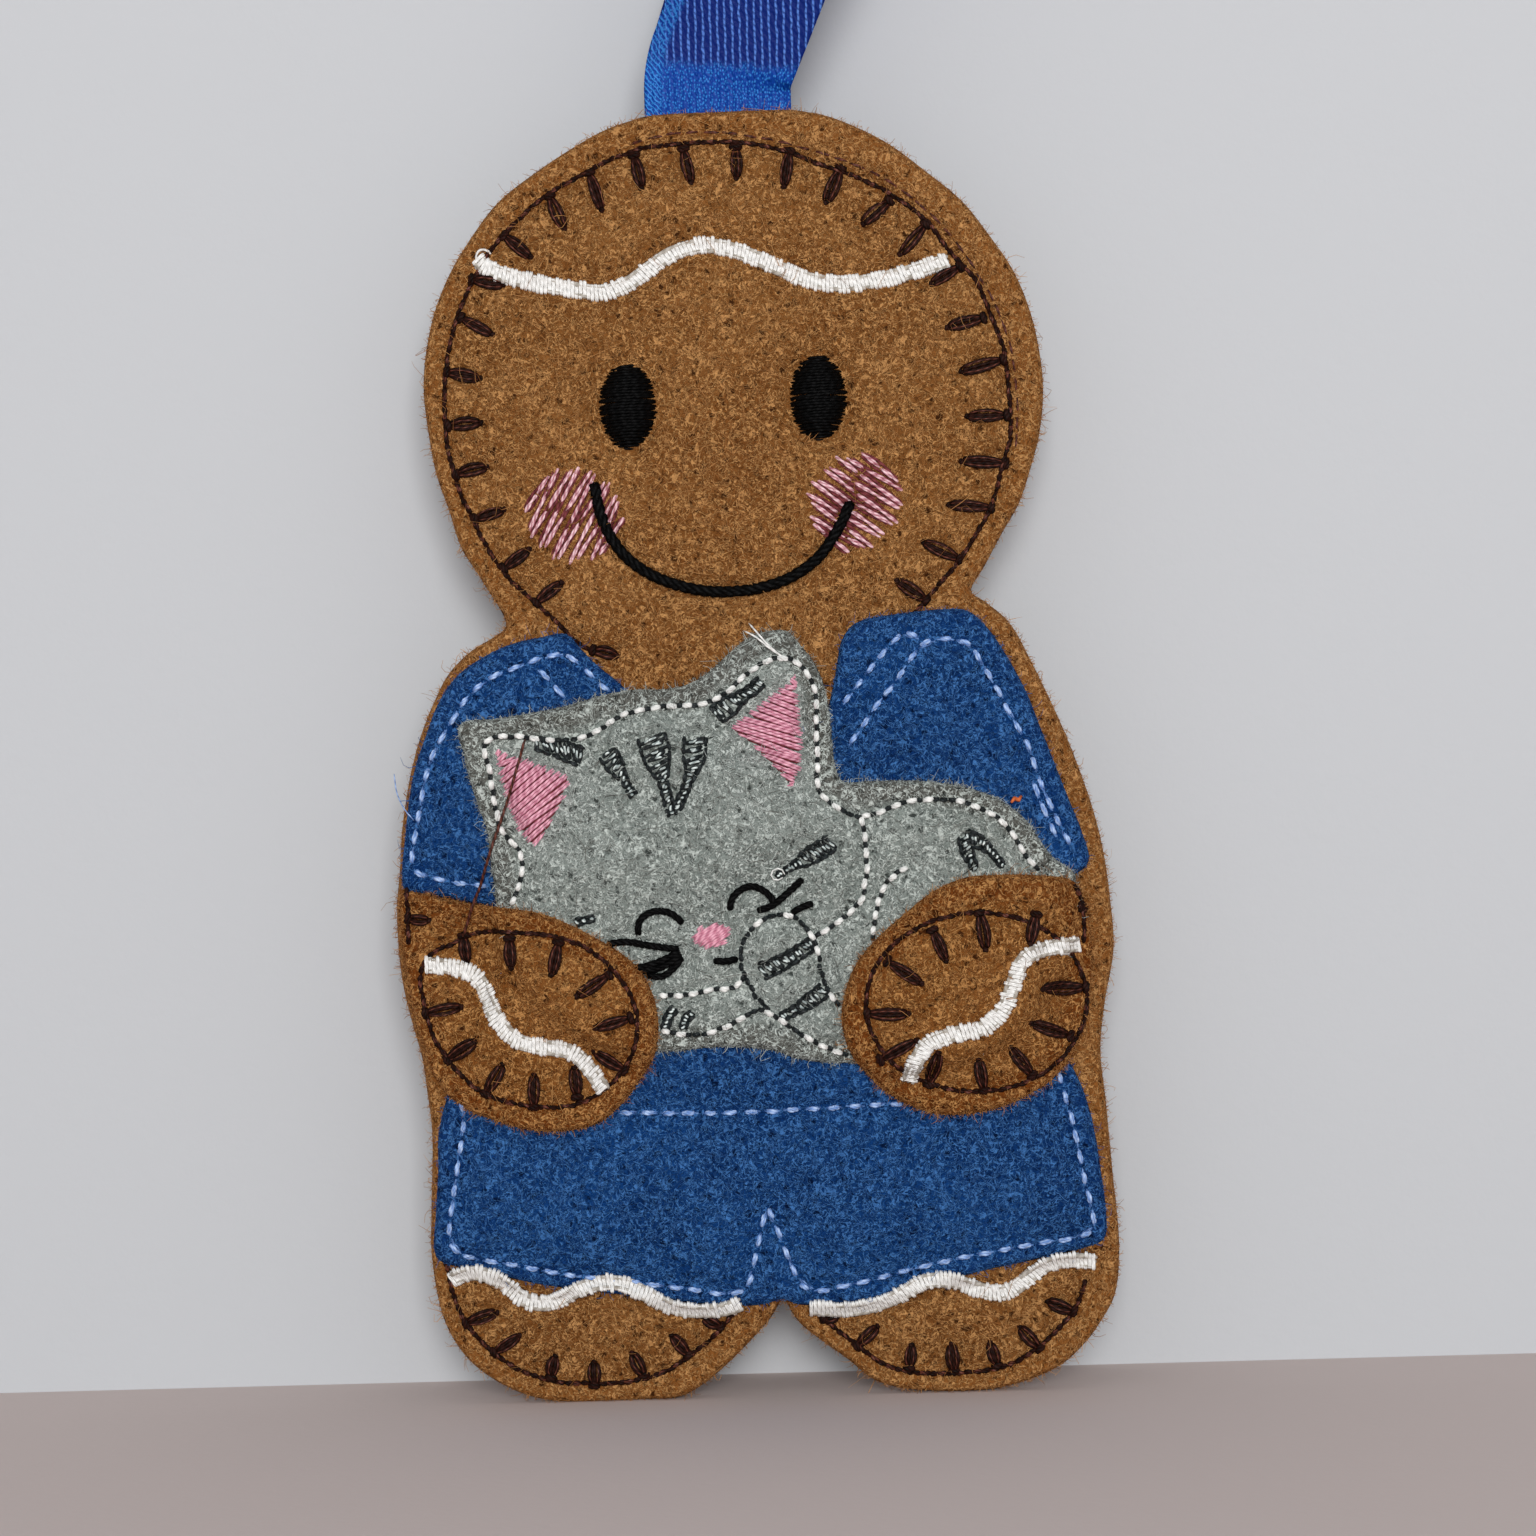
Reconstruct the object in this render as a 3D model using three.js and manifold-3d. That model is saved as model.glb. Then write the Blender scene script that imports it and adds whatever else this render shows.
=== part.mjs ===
// A flat felt ornament: a gingerbread figure that holds a sleeping cat and hangs from a ribbon loop.
// Lengths are millimetres. X runs to the viewer's right, Z runs up and the front faces -Y.
// Left and right are the viewer's. The origin is the top of the inside of the loop, where a hook holds it.

import * as THREE from 'three';
import { mergeVertices } from 'three/addons/utils/BufferGeometryUtils.js';
import Module from 'manifold-3d';

const wasm = await Module();
wasm.setup();

// The figure: a body and a head cut in one from brown felt, twice, and sewn face to face.
const bodyWidth = 73;
const bodyHeight = 80.5;
const headWidth = 63;
const headHeight = 59.4;
const headShift = -0.9;
const neckOverlap = 8.7;
const brownThickness = 1.4;

// The layers of felt that are sewn onto its front.
const clothesThickness = 1.1;
const catWidth = 62.2;
const catHeight = 43.8;
const catThickness = 1.1;
const catShift = 1.6;
const catMiddleShare = 0.697;
const handThickness = 1.1;
const leftHandWidth = 25.5;
const leftHandHeight = 24.4;
const leftHandInset = 0.75;
const leftHandRise = 6.1;
const rightHandWidth = 25;
const rightHandHeight = 23.8;
const rightHandInset = 2.9;
const rightHandRise = 6.5;
const waistDrop = 4.7;
const waistSag = 0.6;
const feltRounding = 0.35;

// Thread: width and height of each kind of stitching above the felt that it lies on.
const icingWidth = 1.8;
const icingHeight = 0.8;
const blanketWidth = 0.8;
const blanketHeight = 0.6;
const tickWidth = 0.9;
const headTickLength = 3.7;
const headTickPitch = 5;
const handTickLength = 3;
const handTickPitch = 5.7;
const footTickLength = 2.4;
const footTickPitch = 5.2;
const runWidth = 0.5;
const runHeight = 0.4;
const smileWidth = 0.95;
const smileHeight = 0.6;
const eyeWidth = 6;
const eyeHeight = 9;
const eyeCrown = 0.8;
const cheekWidth = 10.2;
const cheekHeight = 10;
const cheekPitch = 1.5;
const cheekStitchWidth = 0.5;
const cheekStitchHeight = 0.35;
const earFillThickness = 0.5;
const noseWidth = 3.8;
const noseHeight = 2.4;
const noseCrown = 0.6;
const lidWidth = 0.65;
const lidHeight = 0.5;
const stripeWidth = 1.4;
const stripeHeight = 0.5;

// The head's border of blanket stitch, measured in from the edge of the felt.
const headBorderWidth = 57.9;
const headBorderHeight = 56.6;
const headBorderShift = -0.75;
const headBorderDrop = 1.5;
const leftHandBorderWidth = 22;
const leftHandBorderHeight = 17.6;
const rightHandBorderWidth = 22.4;
const rightHandBorderHeight = 18.2;

// The ribbon: its two ends are sewn in between the brown felts, and the loop swings over the seam.
const ribbonWidth = 15;
const ribbonThickness = 0.35;
const ribbonShift = -1.7;
const strandGap = 0.3;
const tailDepth = 10;
const loopHeight = 66;
const loopBow = 17;
const loopEndRise = 0.3;
const swingAxisRise = 1.1;
const tailEndDrop = 0.6;
const leanStart = 0.8;
const leanRun = 3.6;
const leanAngle = THREE.MathUtils.degToRad(20.5);
const leanFan = THREE.MathUtils.degToRad(4.5);

// Gap that pieces in one layer keep from each other, and how far a cutter runs past what it cuts.
const clearance = 0.3;
const overrun = 5;

// Depths of the fronts of the layers. The two brown felts meet at zero.
const brownFront = -brownThickness;
const clothesFront = brownFront - clothesThickness;
const catFront = clothesFront - catThickness;
const handFront = catFront - handThickness;

// Each piece's own frame: its middle and its size. Shares below are of half the width and half the height.
const body = { x: 0, z: bodyHeight / 2, width: bodyWidth, height: bodyHeight };
const head = {
  x: headShift,
  z: bodyHeight - neckOverlap + headHeight / 2,
  width: headWidth,
  height: headHeight,
};
const cat = { x: catShift, z: catMiddleShare * bodyHeight, width: catWidth, height: catHeight };
const catBottom = cat.z - catHeight / 2;
const leftHand = {
  x: leftHandInset + (leftHandWidth - bodyWidth) / 2,
  z: catBottom + leftHandRise,
  width: leftHandWidth,
  height: leftHandHeight,
};
const rightHand = {
  x: (bodyWidth - rightHandWidth) / 2 - rightHandInset,
  z: catBottom + rightHandRise,
  width: rightHandWidth,
  height: rightHandHeight,
};
const waist = { x: 0, z: catBottom - waistDrop, width: bodyWidth, height: waistSag };
const headTop = head.z + headHeight / 2;

// Outlines of the felts.
const bodyShares = [
  [-0.49, 1.00], [-0.71, 0.95], [-0.86, 0.82], [-0.95, 0.62], [-0.99, 0.36], [-1.00, 0.14], [-0.96, -0.09],
  [-0.92, -0.33], [-0.93, -0.59], [-0.89, -0.81], [-0.77, -0.94], [-0.59, -1.00], [-0.35, -1.00],
  [-0.19, -0.97], [-0.06, -0.87], [0.05, -0.75], [0.13, -0.84], [0.26, -0.94], [0.42, -0.99], [0.64, -0.99],
  [0.83, -0.93], [0.96, -0.80], [0.99, -0.60], [0.97, -0.33], [0.96, -0.11], [1.00, 0.13], [0.98, 0.37],
  [0.89, 0.63], [0.78, 0.87], [0.62, 1.00],
];
const headShares = [
  [-1.00, 0.10], [-0.92, 0.45], [-0.76, 0.70], [-0.53, 0.88], [-0.26, 0.98], [0.00, 1.00], [0.27, 0.98],
  [0.52, 0.88], [0.76, 0.68], [0.92, 0.43], [1.00, 0.13], [0.98, -0.16], [0.86, -0.47], [0.63, -0.76],
  [0.32, -0.95], [-0.03, -1.00], [-0.38, -0.94], [-0.67, -0.77], [-0.88, -0.49], [-0.98, -0.19],
];
const clothesShares = [
  [-0.51, 0.95], [-0.68, 0.92], [-0.84, 0.81], [-0.93, 0.62], [-0.98, 0.37], [-0.97, 0.32], [-0.85, 0.29],
  [-0.70, 0.25], [-0.69, 0.02], [-0.83, -0.18], [-0.89, -0.33], [-0.92, -0.59], [-0.89, -0.64],
  [-0.66, -0.69], [-0.36, -0.73], [-0.07, -0.765], [0.05, -0.745], [0.16, -0.765], [0.40, -0.74],
  [0.67, -0.68], [0.93, -0.62], [0.95, -0.55], [0.91, -0.27], [0.83, -0.13], [0.73, 0.04], [0.73, 0.22],
  [0.92, 0.31], [0.89, 0.46], [0.80, 0.69], [0.69, 0.90], [0.57, 0.97], [0.31, 0.95], [0.24, 0.82],
  [0.18, 0.67], [-0.05, 0.58], [-0.26, 0.66], [-0.37, 0.82],
];
const catShares = [
  [-1.00, 0.61], [-0.76, 0.65], [-0.52, 0.73], [-0.24, 0.77], [-0.10, 0.91], [0.01, 1.00], [0.11, 0.94],
  [0.19, 0.75], [0.21, 0.45], [0.26, 0.29], [0.50, 0.29], [0.72, 0.21], [0.88, 0.00], [0.98, -0.21],
  [0.93, -0.58], [0.70, -0.85], [0.40, -0.98], [0.17, -1.00], [-0.04, -0.92], [-0.31, -0.91],
  [-0.57, -0.79], [-0.77, -0.58], [-0.87, -0.26], [-0.89, 0.13],
];
const leftHandShares = [
  [-0.99, 0.94], [-0.60, 0.91], [0.08, 0.80], [0.56, 0.57], [0.91, 0.24], [1.00, -0.19], [0.86, -0.58],
  [0.52, -0.93], [0.12, -1.00], [-0.42, -0.86], [-0.76, -0.52], [-0.92, 0.14],
];
const rightHandShares = [
  [0.98, 0.90], [0.59, 0.99], [0.02, 0.99], [-0.47, 0.71], [-0.87, 0.29], [-1.00, -0.18], [-0.82, -0.64],
  [-0.47, -0.92], [-0.07, -1.00], [0.51, -0.84], [0.85, -0.55], [0.96, 0.19],
];

// Paths of the stitching.
const foreheadIcingShares = [
  [-0.78, 0.49], [-0.62, 0.43], [-0.41, 0.39], [-0.26, 0.47], [-0.09, 0.54], [0.09, 0.49], [0.26, 0.42],
  [0.45, 0.41], [0.68, 0.46],
];
const smileShares = [
  [-0.45, -0.29], [-0.42, -0.43], [-0.31, -0.57], [-0.12, -0.64], [0.09, -0.63], [0.26, -0.55], [0.37, -0.36],
];
const leftHandIcingShares = [
  [-0.83, 0.39], [-0.44, 0.30], [-0.26, -0.09], [-0.05, -0.28], [0.33, -0.36], [0.55, -0.67],
];
const rightHandIcingShares = [
  [0.88, 0.40], [0.47, 0.31], [0.30, -0.09], [0.07, -0.29], [-0.29, -0.37], [-0.47, -0.70],
];
const leftFootIcingShares = [
  [-0.86, -0.685], [-0.79, -0.68], [-0.68, -0.74], [-0.61, -0.755], [-0.52, -0.74], [-0.41, -0.735],
  [-0.30, -0.765], [-0.19, -0.79], [-0.09, -0.775],
];
const rightFootIcingShares = [
  [0.14, -0.78], [0.26, -0.79], [0.39, -0.75], [0.49, -0.72], [0.59, -0.75], [0.68, -0.75], [0.78, -0.69],
  [0.90, -0.68],
];
const leftFootBorderShares = [
  [-0.89, -0.65], [-0.85, -0.77], [-0.76, -0.87], [-0.62, -0.94], [-0.45, -0.955], [-0.30, -0.94],
  [-0.19, -0.87], [-0.10, -0.79],
];
const rightFootBorderShares = [
  [0.14, -0.79], [0.26, -0.88], [0.37, -0.935], [0.53, -0.95], [0.68, -0.93], [0.81, -0.86], [0.88, -0.76],
  [0.89, -0.65],
];
const shortsShares = [
  [-0.83, -0.22], [-0.85, -0.38], [-0.88, -0.56], [-0.79, -0.63], [-0.51, -0.68], [-0.23, -0.71],
  [-0.06, -0.72], [-0.02, -0.64], [0.01, -0.51], [0.05, -0.64], [0.10, -0.72], [0.27, -0.71],
  [0.55, -0.65], [0.82, -0.61], [0.91, -0.57], [0.89, -0.40], [0.83, -0.18],
];
const leftSleeveShares = [
  [-0.73, 0.31], [-0.85, 0.33], [-0.94, 0.37], [-0.92, 0.50], [-0.85, 0.70], [-0.73, 0.84], [-0.52, 0.90],
  [-0.42, 0.82], [-0.38, 0.79],
];
const rightSleeveShares = [
  [0.87, 0.39], [0.81, 0.54], [0.72, 0.71], [0.64, 0.86], [0.52, 0.91], [0.42, 0.92], [0.34, 0.84],
  [0.26, 0.75],
];
const leftStrapShares = [[-0.60, 0.86], [-0.57, 0.82], [-0.52, 0.77]];
const rightStrapShares = [[0.45, 0.84], [0.40, 0.78], [0.33, 0.70], [0.29, 0.63]];
const waistShares = [[-0.39, 0.50], [0.00, -1.00], [0.40, 0.60]];
const catHeadShares = [
  [-0.80, -0.20], [-0.80, 0.02], [-0.84, 0.17], [-0.91, 0.52], [-0.73, 0.53], [-0.56, 0.56], [-0.43, 0.65],
  [-0.22, 0.67], [-0.05, 0.82], [0.08, 0.88], [0.15, 0.71], [0.16, 0.27], [0.30, 0.12], [0.31, -0.14],
  [0.23, -0.34], [0.14, -0.42],
];
const catBackShares = [[0.28, 0.14], [0.42, 0.19], [0.62, 0.18], [0.80, 0.01], [0.89, -0.16]];
const catPawShares = [
  [-0.02, -0.75], [-0.09, -0.59], [-0.10, -0.43], [0.00, -0.32], [0.09, -0.34], [0.15, -0.45],
  [0.17, -0.64], [0.19, -0.72],
];
const catLegShares = [[0.45, -0.11], [0.37, -0.20], [0.34, -0.30]];
const leftEarShares = [
  [-0.88, 0.47], [-0.75, 0.42], [-0.64, 0.34], [-0.70, 0.18], [-0.77, 0.06], [-0.84, 0.25],
];
const rightEarShares = [
  [0.10, 0.77], [-0.01, 0.68], [-0.12, 0.56], [-0.01, 0.41], [0.08, 0.28], [0.10, 0.52],
];
const leftLidShares = [
  [-0.43, -0.50], [-0.36, -0.53], [-0.30, -0.47], [-0.30, -0.36], [-0.37, -0.29], [-0.44, -0.35],
];
const rightLidShares = [[-0.13, -0.29], [-0.11, -0.22], [-0.06, -0.18], [0.00, -0.20], [0.09, -0.16]];
const catStripeShares = {
  cat_stripe_left: [[-0.52, 0.46], [-0.43, 0.26]],
  cat_stripe_middle: [[-0.36, 0.51], [-0.31, 0.16]],
  cat_stripe_right: [[-0.24, 0.52], [-0.25, 0.22]],
  cat_stripe_left_ear: [[-0.72, 0.45], [-0.61, 0.42]],
  cat_stripe_right_ear: [[-0.15, 0.64], [-0.03, 0.75]],
  cat_stripe_cheek: [[0.02, -0.12], [0.20, 0.01]],
  cat_stripe_back: [[0.67, -0.12], [0.65, -0.02], [0.70, 0.02], [0.75, -0.11]],
};
const noseShare = [-0.19, -0.40];
const catMouthShares = [[-0.19, -0.51], [-0.145, -0.51]];
const eyeShares = { left_eye: [-0.34, 0.00], right_eye: [0.28, 0.01] };
const cheekShares = { left_cheek: [-0.52, -0.37], right_cheek: [0.38, -0.36] };
const leftHandBorderShare = [-0.03, -0.09];
const rightHandBorderShare = [0.10, -0.06];

// How the stitching leans and how finely curves are drawn.
const cheekStrokeAngles = {
  left_cheek: THREE.MathUtils.degToRad(60),
  right_cheek: THREE.MathUtils.degToRad(-35),
};
const leftHandBorderTurn = THREE.MathUtils.degToRad(-15);
const outlineSteps = 3;
const pathSteps = 3;
const borderStep = 2.4;
const loopSteps = 44;
const ovalSegments = 20;

// Cross-sections of thread, from the right foot over the top to the left: shares of its width and height.
const roundSectionShares = [[0.5, 0], [0.42, 0.65], [0, 1], [-0.42, 0.65], [-0.5, 0]];
const flatSectionShares = [[0.5, 0], [0.3, 1], [-0.3, 1], [-0.5, 0]];
const strokeTipShare = 0.35;

const felt = (color) => new THREE.MeshStandardMaterial({ color, roughness: 0.95, metalness: 0 });
const thread = (color) => new THREE.MeshStandardMaterial({ color, roughness: 0.45, metalness: 0 });
const brownFelt = felt(0x9a6838);
const blueFelt = felt(0x1f4f93);
const greyFelt = felt(0x8c908f);
const blueSatin = new THREE.MeshStandardMaterial({ color: 0x1f62c8, roughness: 0.35, metalness: 0 });
const brownThread = thread(0x3d1a12);
const blackThread = thread(0x0e0c0c);
const whiteThread = thread(0xf0efe9);
const pinkThread = thread(0xe58fae);
const paleBlueThread = thread(0xa0c0f0);

// A point in the plane of the figure, from shares of a piece's half sizes.
function at(frame, [u, v]) {
  return new THREE.Vector2(frame.x + (u * frame.width) / 2, frame.z + (v * frame.height) / 2);
}

// The points of a smooth closed outline.
function outline(shares, frame) {
  const knots = shares.map((share) => at(frame, share)).map(({ x, y }) => new THREE.Vector3(x, y, 0));
  const curve = new THREE.CatmullRomCurve3(knots, true, 'centripetal');
  const points = curve.getPoints(shares.length * outlineSteps).slice(0, -1);
  return points.map(({ x, y }) => new THREE.Vector2(x, y));
}

// The points of a smooth open path.
function path(shares, frame) {
  const curve = new THREE.SplineCurve(shares.map((share) => at(frame, share)));
  return curve.getPoints((shares.length - 1) * pathSteps);
}

function solidOf(geometry) {
  geometry.deleteAttribute('normal');
  geometry.deleteAttribute('uv');
  const merged = mergeVertices(geometry);
  const vertProperties = Float32Array.from(merged.attributes.position.array);
  const triVerts = Uint32Array.from(merged.index.array);
  return new wasm.Manifold(new wasm.Mesh({ numProp: 3, vertProperties, triVerts }));
}

function geometryOf(solid) {
  const { vertProperties, triVerts } = solid.getMesh();
  const geometry = new THREE.BufferGeometry();
  geometry.setAttribute('position', new THREE.BufferAttribute(vertProperties, 3));
  geometry.setIndex(new THREE.BufferAttribute(triVerts, 1));
  const faceted = geometry.toNonIndexed();
  faceted.computeVertexNormals();
  return faceted;
}

// The largest piece that is left of a solid after cutting.
function largest(solid) {
  return solid.decompose().reduce((most, piece) => (piece.volume() > most.volume() ? piece : most));
}

// Turns what was drawn on the XY plane and raised along Z so that it rises from a layer's front.
function faceFront(geometry, base) {
  return geometry.rotateX(Math.PI / 2).translate(0, base, 0);
}

// A sheet cut to an outline, its edges rounded, with its back on the layer behind.
function sheet(points, thickness, base) {
  const rounding = Math.min(feltRounding, thickness / 3);
  const geometry = new THREE.ExtrudeGeometry(new THREE.Shape(points), {
    depth: thickness - 2 * rounding,
    bevelThickness: rounding,
    bevelSize: rounding,
    bevelOffset: -rounding,
    bevelSegments: 1,
  });
  return solidOf(faceFront(geometry.translate(0, 0, rounding), base));
}

// What clears a neighbour's outline through every layer.
function clearing(points) {
  const shape = new THREE.Shape(points);
  const depth = 2 * overrun + Math.abs(handFront);
  const geometry = new THREE.ExtrudeGeometry(shape, {
    depth,
    bevelThickness: 0,
    bevelSize: clearance,
    bevelSegments: 1,
  });
  return solidOf(faceFront(geometry, overrun));
}

// A raised line of thread: flat underneath on its felt, and rounded on top.
function ridge(points, { width, height, base, section = roundSectionShares, ...shape }) {
  const { closed = false, swell = () => 1 } = shape;
  const positions = [];
  const last = points.length - 1;
  points.forEach((point, i) => {
    const before = closed && i === 0 ? points[last] : points[Math.max(i - 1, 0)];
    const after = closed && i === last ? points[0] : points[Math.min(i + 1, last)];
    const arriving = point.clone().sub(before).normalize();
    const leaving = after.clone().sub(point).normalize();
    const along = arriving.clone().add(leaving).normalize();
    const mitre = Math.max(along.dot(leaving), along.dot(arriving), Math.SQRT1_2);
    const reach = (width * swell(i / last)) / mitre;
    section.forEach(([across, up]) => {
      const x = point.x - along.y * across * reach;
      const z = point.y + along.x * across * reach;
      positions.push(x, base - up * height, z);
    });
  });
  const sides = section.length;
  const rings = closed ? points.length : last;
  const triangles = [];
  for (let i = 0; i < rings; i += 1) {
    for (let j = 0; j < sides; j += 1) {
      const [a, b] = [i * sides + j, i * sides + ((j + 1) % sides)];
      const [c, d] = [a, b].map((corner) => (corner + sides) % (points.length * sides));
      triangles.push(a, b, c, c, b, d);
    }
  }
  for (let j = 1; !closed && j < sides - 1; j += 1) {
    triangles.push(0, j + 1, j, last * sides, last * sides + j, last * sides + j + 1);
  }
  const geometry = new THREE.BufferGeometry();
  geometry.setAttribute('position', new THREE.Float32BufferAttribute(positions, 3));
  geometry.setIndex(triangles);
  return solidOf(geometry);
}

// A line along a curve with ticks that point in to its left at an even pitch, as a blanket stitch lies.
// The margin makes the same shape larger all round, to cut its neighbours clear of it.
function blanketStitch(curve, { tickLength, tickPitch, base, closed = false, margin = 0 }) {
  const size = { height: blanketHeight + 2 * margin, base: base + margin, section: flatSectionShares };
  const points = curve.getSpacedPoints(Math.round(curve.getLength() / borderStep));
  const line = closed ? points.slice(0, -1) : points;
  const parts = [ridge(line, { ...size, width: blanketWidth + 2 * margin, closed })];
  const count = Math.round(curve.getLength() / tickPitch);
  for (let i = 0; i < count; i += 1) {
    const place = (i + 0.5) / count;
    const root = curve.getPointAt(place);
    const tangent = curve.getTangentAt(place);
    const tip = new THREE.Vector2(-tangent.y, tangent.x).multiplyScalar(tickLength + margin).add(root);
    parts.push(ridge([root, tip], { ...size, width: tickWidth + 2 * margin }));
  }
  return parts.reduce((whole, tick) => whole.add(tick));
}

// A low satin-stitched oval.
function satinOval([u, v], frame, { width, height, crown, base }) {
  const profile = new THREE.EllipseCurve(0, 0, 1, crown, 0, Math.PI / 2).getPoints(3);
  const geometry = new THREE.LatheGeometry([new THREE.Vector2(0, 0), ...profile], ovalSegments);
  const middle = at(frame, [u, v]);
  geometry.scale(width / 2, 1, height / 2).rotateX(Math.PI).translate(middle.x, base, middle.y);
  return solidOf(geometry);
}

// An oval of open hatching: one thread that runs to and fro from edge to edge.
function hatchedOval([u, v], frame, { width, height, pitch, angle, base }) {
  const middle = at(frame, [u, v]);
  const across = new THREE.Vector2(Math.sin(angle), -Math.cos(angle));
  const along = new THREE.Vector2(Math.cos(angle), Math.sin(angle));
  const strokes = Math.round(width / pitch) * 2 - 1;
  const turns = [];
  for (let i = 0; i <= strokes; i += 1) {
    const offset = (i / strokes) * 2 - 1;
    const chord = Math.sqrt(Math.max(1 - offset * offset, 1 / strokes));
    const end = i % 2 === 0 ? 1 : -1;
    const place = across.clone().multiplyScalar((offset * (width - cheekStitchWidth)) / 2);
    turns.push(place.addScaledVector(along, (end * chord * height) / 2).add(middle));
  }
  const size = { width: cheekStitchWidth, height: cheekStitchHeight, base, section: flatSectionShares };
  const lines = turns.slice(1).map((turn, i) => ridge([turns[i], turn], size));
  return lines.reduce((whole, line) => whole.add(line));
}

// The middle of the ribbon's strip, a share of the way round from its front end to its back end.
function loopCenter(share) {
  const turn = share * 2 * Math.PI;
  const y = -loopBow * Math.sin(turn) * Math.sin(turn / 2) ** 1.5
    - ((strandGap + ribbonThickness) / 2) * Math.cos(turn / 2);
  const rise = (loopHeight * (1 - Math.cos(turn))) / 2;
  return { y, rise, lean: leanAngle + leanFan * Math.cos(turn / 2) };
}

// Where a place on the strip comes to lie once the ribbon leans to the right above its seam.
function leaned({ y, rise, lean }, sideways) {
  const turned = (lean * THREE.MathUtils.clamp(rise - leanStart, 0, leanRun)) / leanRun;
  const radius = leanRun / lean;
  const beyond = Math.max(rise - leanStart - leanRun, 0);
  const x = radius * (1 - Math.cos(turned)) + beyond * Math.sin(turned) + sideways * Math.cos(turned);
  const z = Math.min(rise, leanStart) + radius * Math.sin(turned) + beyond * Math.cos(turned)
    - sideways * Math.sin(turned);
  return new THREE.Vector3(ribbonShift + x, y, headTop + swingAxisRise + loopEndRise + z);
}

// The strip of ribbon as one loop, a rectangle carried round the teardrop.
function ribbonLoop() {
  const positions = [];
  for (let i = 0; i <= loopSteps; i += 1) {
    const share = i / loopSteps;
    const step = 1 / (loopSteps * 10);
    const center = leaned(loopCenter(share), 0);
    const ahead = leaned(loopCenter(Math.min(share + step, 1)), 0);
    const behind = leaned(loopCenter(Math.max(share - step, 0)), 0);
    const side = leaned(loopCenter(share), ribbonWidth / 2).sub(center);
    const outward = new THREE.Vector3().crossVectors(ahead.sub(behind), side);
    outward.setLength(ribbonThickness / 2);
    [[1, 1], [-1, 1], [-1, -1], [1, -1]].forEach(([across, out]) => {
      const corner = center.clone().addScaledVector(side, across).addScaledVector(outward, out);
      positions.push(corner.x, corner.y, corner.z);
    });
  }
  const triangles = [];
  for (let i = 0; i < loopSteps; i += 1) {
    for (let j = 0; j < 4; j += 1) {
      const [a, b] = [i * 4 + j, i * 4 + ((j + 1) % 4)];
      triangles.push(a, b, a + 4, a + 4, b, b + 4);
    }
  }
  const end = loopSteps * 4;
  triangles.push(0, 2, 1, 0, 3, 2, end, end + 1, end + 2, end, end + 2, end + 3);
  const geometry = new THREE.BufferGeometry();
  geometry.setAttribute('position', new THREE.Float32BufferAttribute(positions, 3));
  geometry.setIndex(triangles);
  return solidOf(geometry);
}

// One end of the ribbon, from inside the head to just below the swing axis.
function ribbonTail(side) {
  const length = tailDepth + swingAxisRise - tailEndDrop;
  const tail = new THREE.BoxGeometry(ribbonWidth, ribbonThickness, length);
  const y = (side * (strandGap + ribbonThickness)) / 2;
  return solidOf(tail.translate(ribbonShift, y, headTop - tailDepth + length / 2));
}

// The room that the ribbon's ends take up between the brown felts.
function tailPocket() {
  const depth = strandGap + 2 * ribbonThickness + 2 * clearance;
  const length = tailDepth + clearance + overrun;
  const pocket = new THREE.BoxGeometry(ribbonWidth + 2 * clearance, depth, length);
  return solidOf(pocket.translate(ribbonShift, 0, headTop - tailDepth - clearance + length / 2));
}

// One of the two brown felts, head and body in one piece.
function figure(base) {
  const bodySheet = sheet(outline(bodyShares, body), brownThickness, base);
  const headSheet = sheet(outline(headShares, head), brownThickness, base);
  return bodySheet.add(headSheet).subtract(tailPocket());
}

// A satin band of icing.
function icing(shares, frame, base) {
  return ridge(path(shares, frame), { width: icingWidth, height: icingHeight, base });
}

// A line of running stitch.
function run(shares, frame, base) {
  const size = { width: runWidth, height: runHeight };
  return ridge(path(shares, frame), { ...size, base, section: flatSectionShares });
}

// A short satin bar that narrows to its ends.
function bar(shares, frame, { width, height, base }) {
  const swell = (share) => strokeTipShare + (1 - strokeTipShare) * Math.sin(share * Math.PI);
  return ridge(path(shares, frame), { width, height, base, swell });
}

const ornament = new THREE.Group();
const doll = new THREE.Group();
ornament.add(doll);

function addPiece(group, name, solid, material) {
  const piece = new THREE.Mesh(geometryOf(solid), material);
  piece.name = name;
  group.add(piece);
}

function addFelts() {
  addPiece(doll, 'back_felt', figure(brownThickness), brownFelt);
  addPiece(doll, 'front_felt', figure(0), brownFelt);
  const clothes = sheet(outline(clothesShares, body), clothesThickness, brownFront);
  addPiece(doll, 'clothes_felt', clothes, blueFelt);
  addPiece(doll, 'cat_felt', sheet(outline(catShares, cat), catThickness, clothesFront), greyFelt);
  [
    ['left_hand_felt', leftHandShares, leftHand],
    ['right_hand_felt', rightHandShares, rightHand],
  ].forEach(([name, shares, frame]) => {
    addPiece(doll, name, sheet(outline(shares, frame), handThickness, catFront), brownFelt);
  });
}

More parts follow.
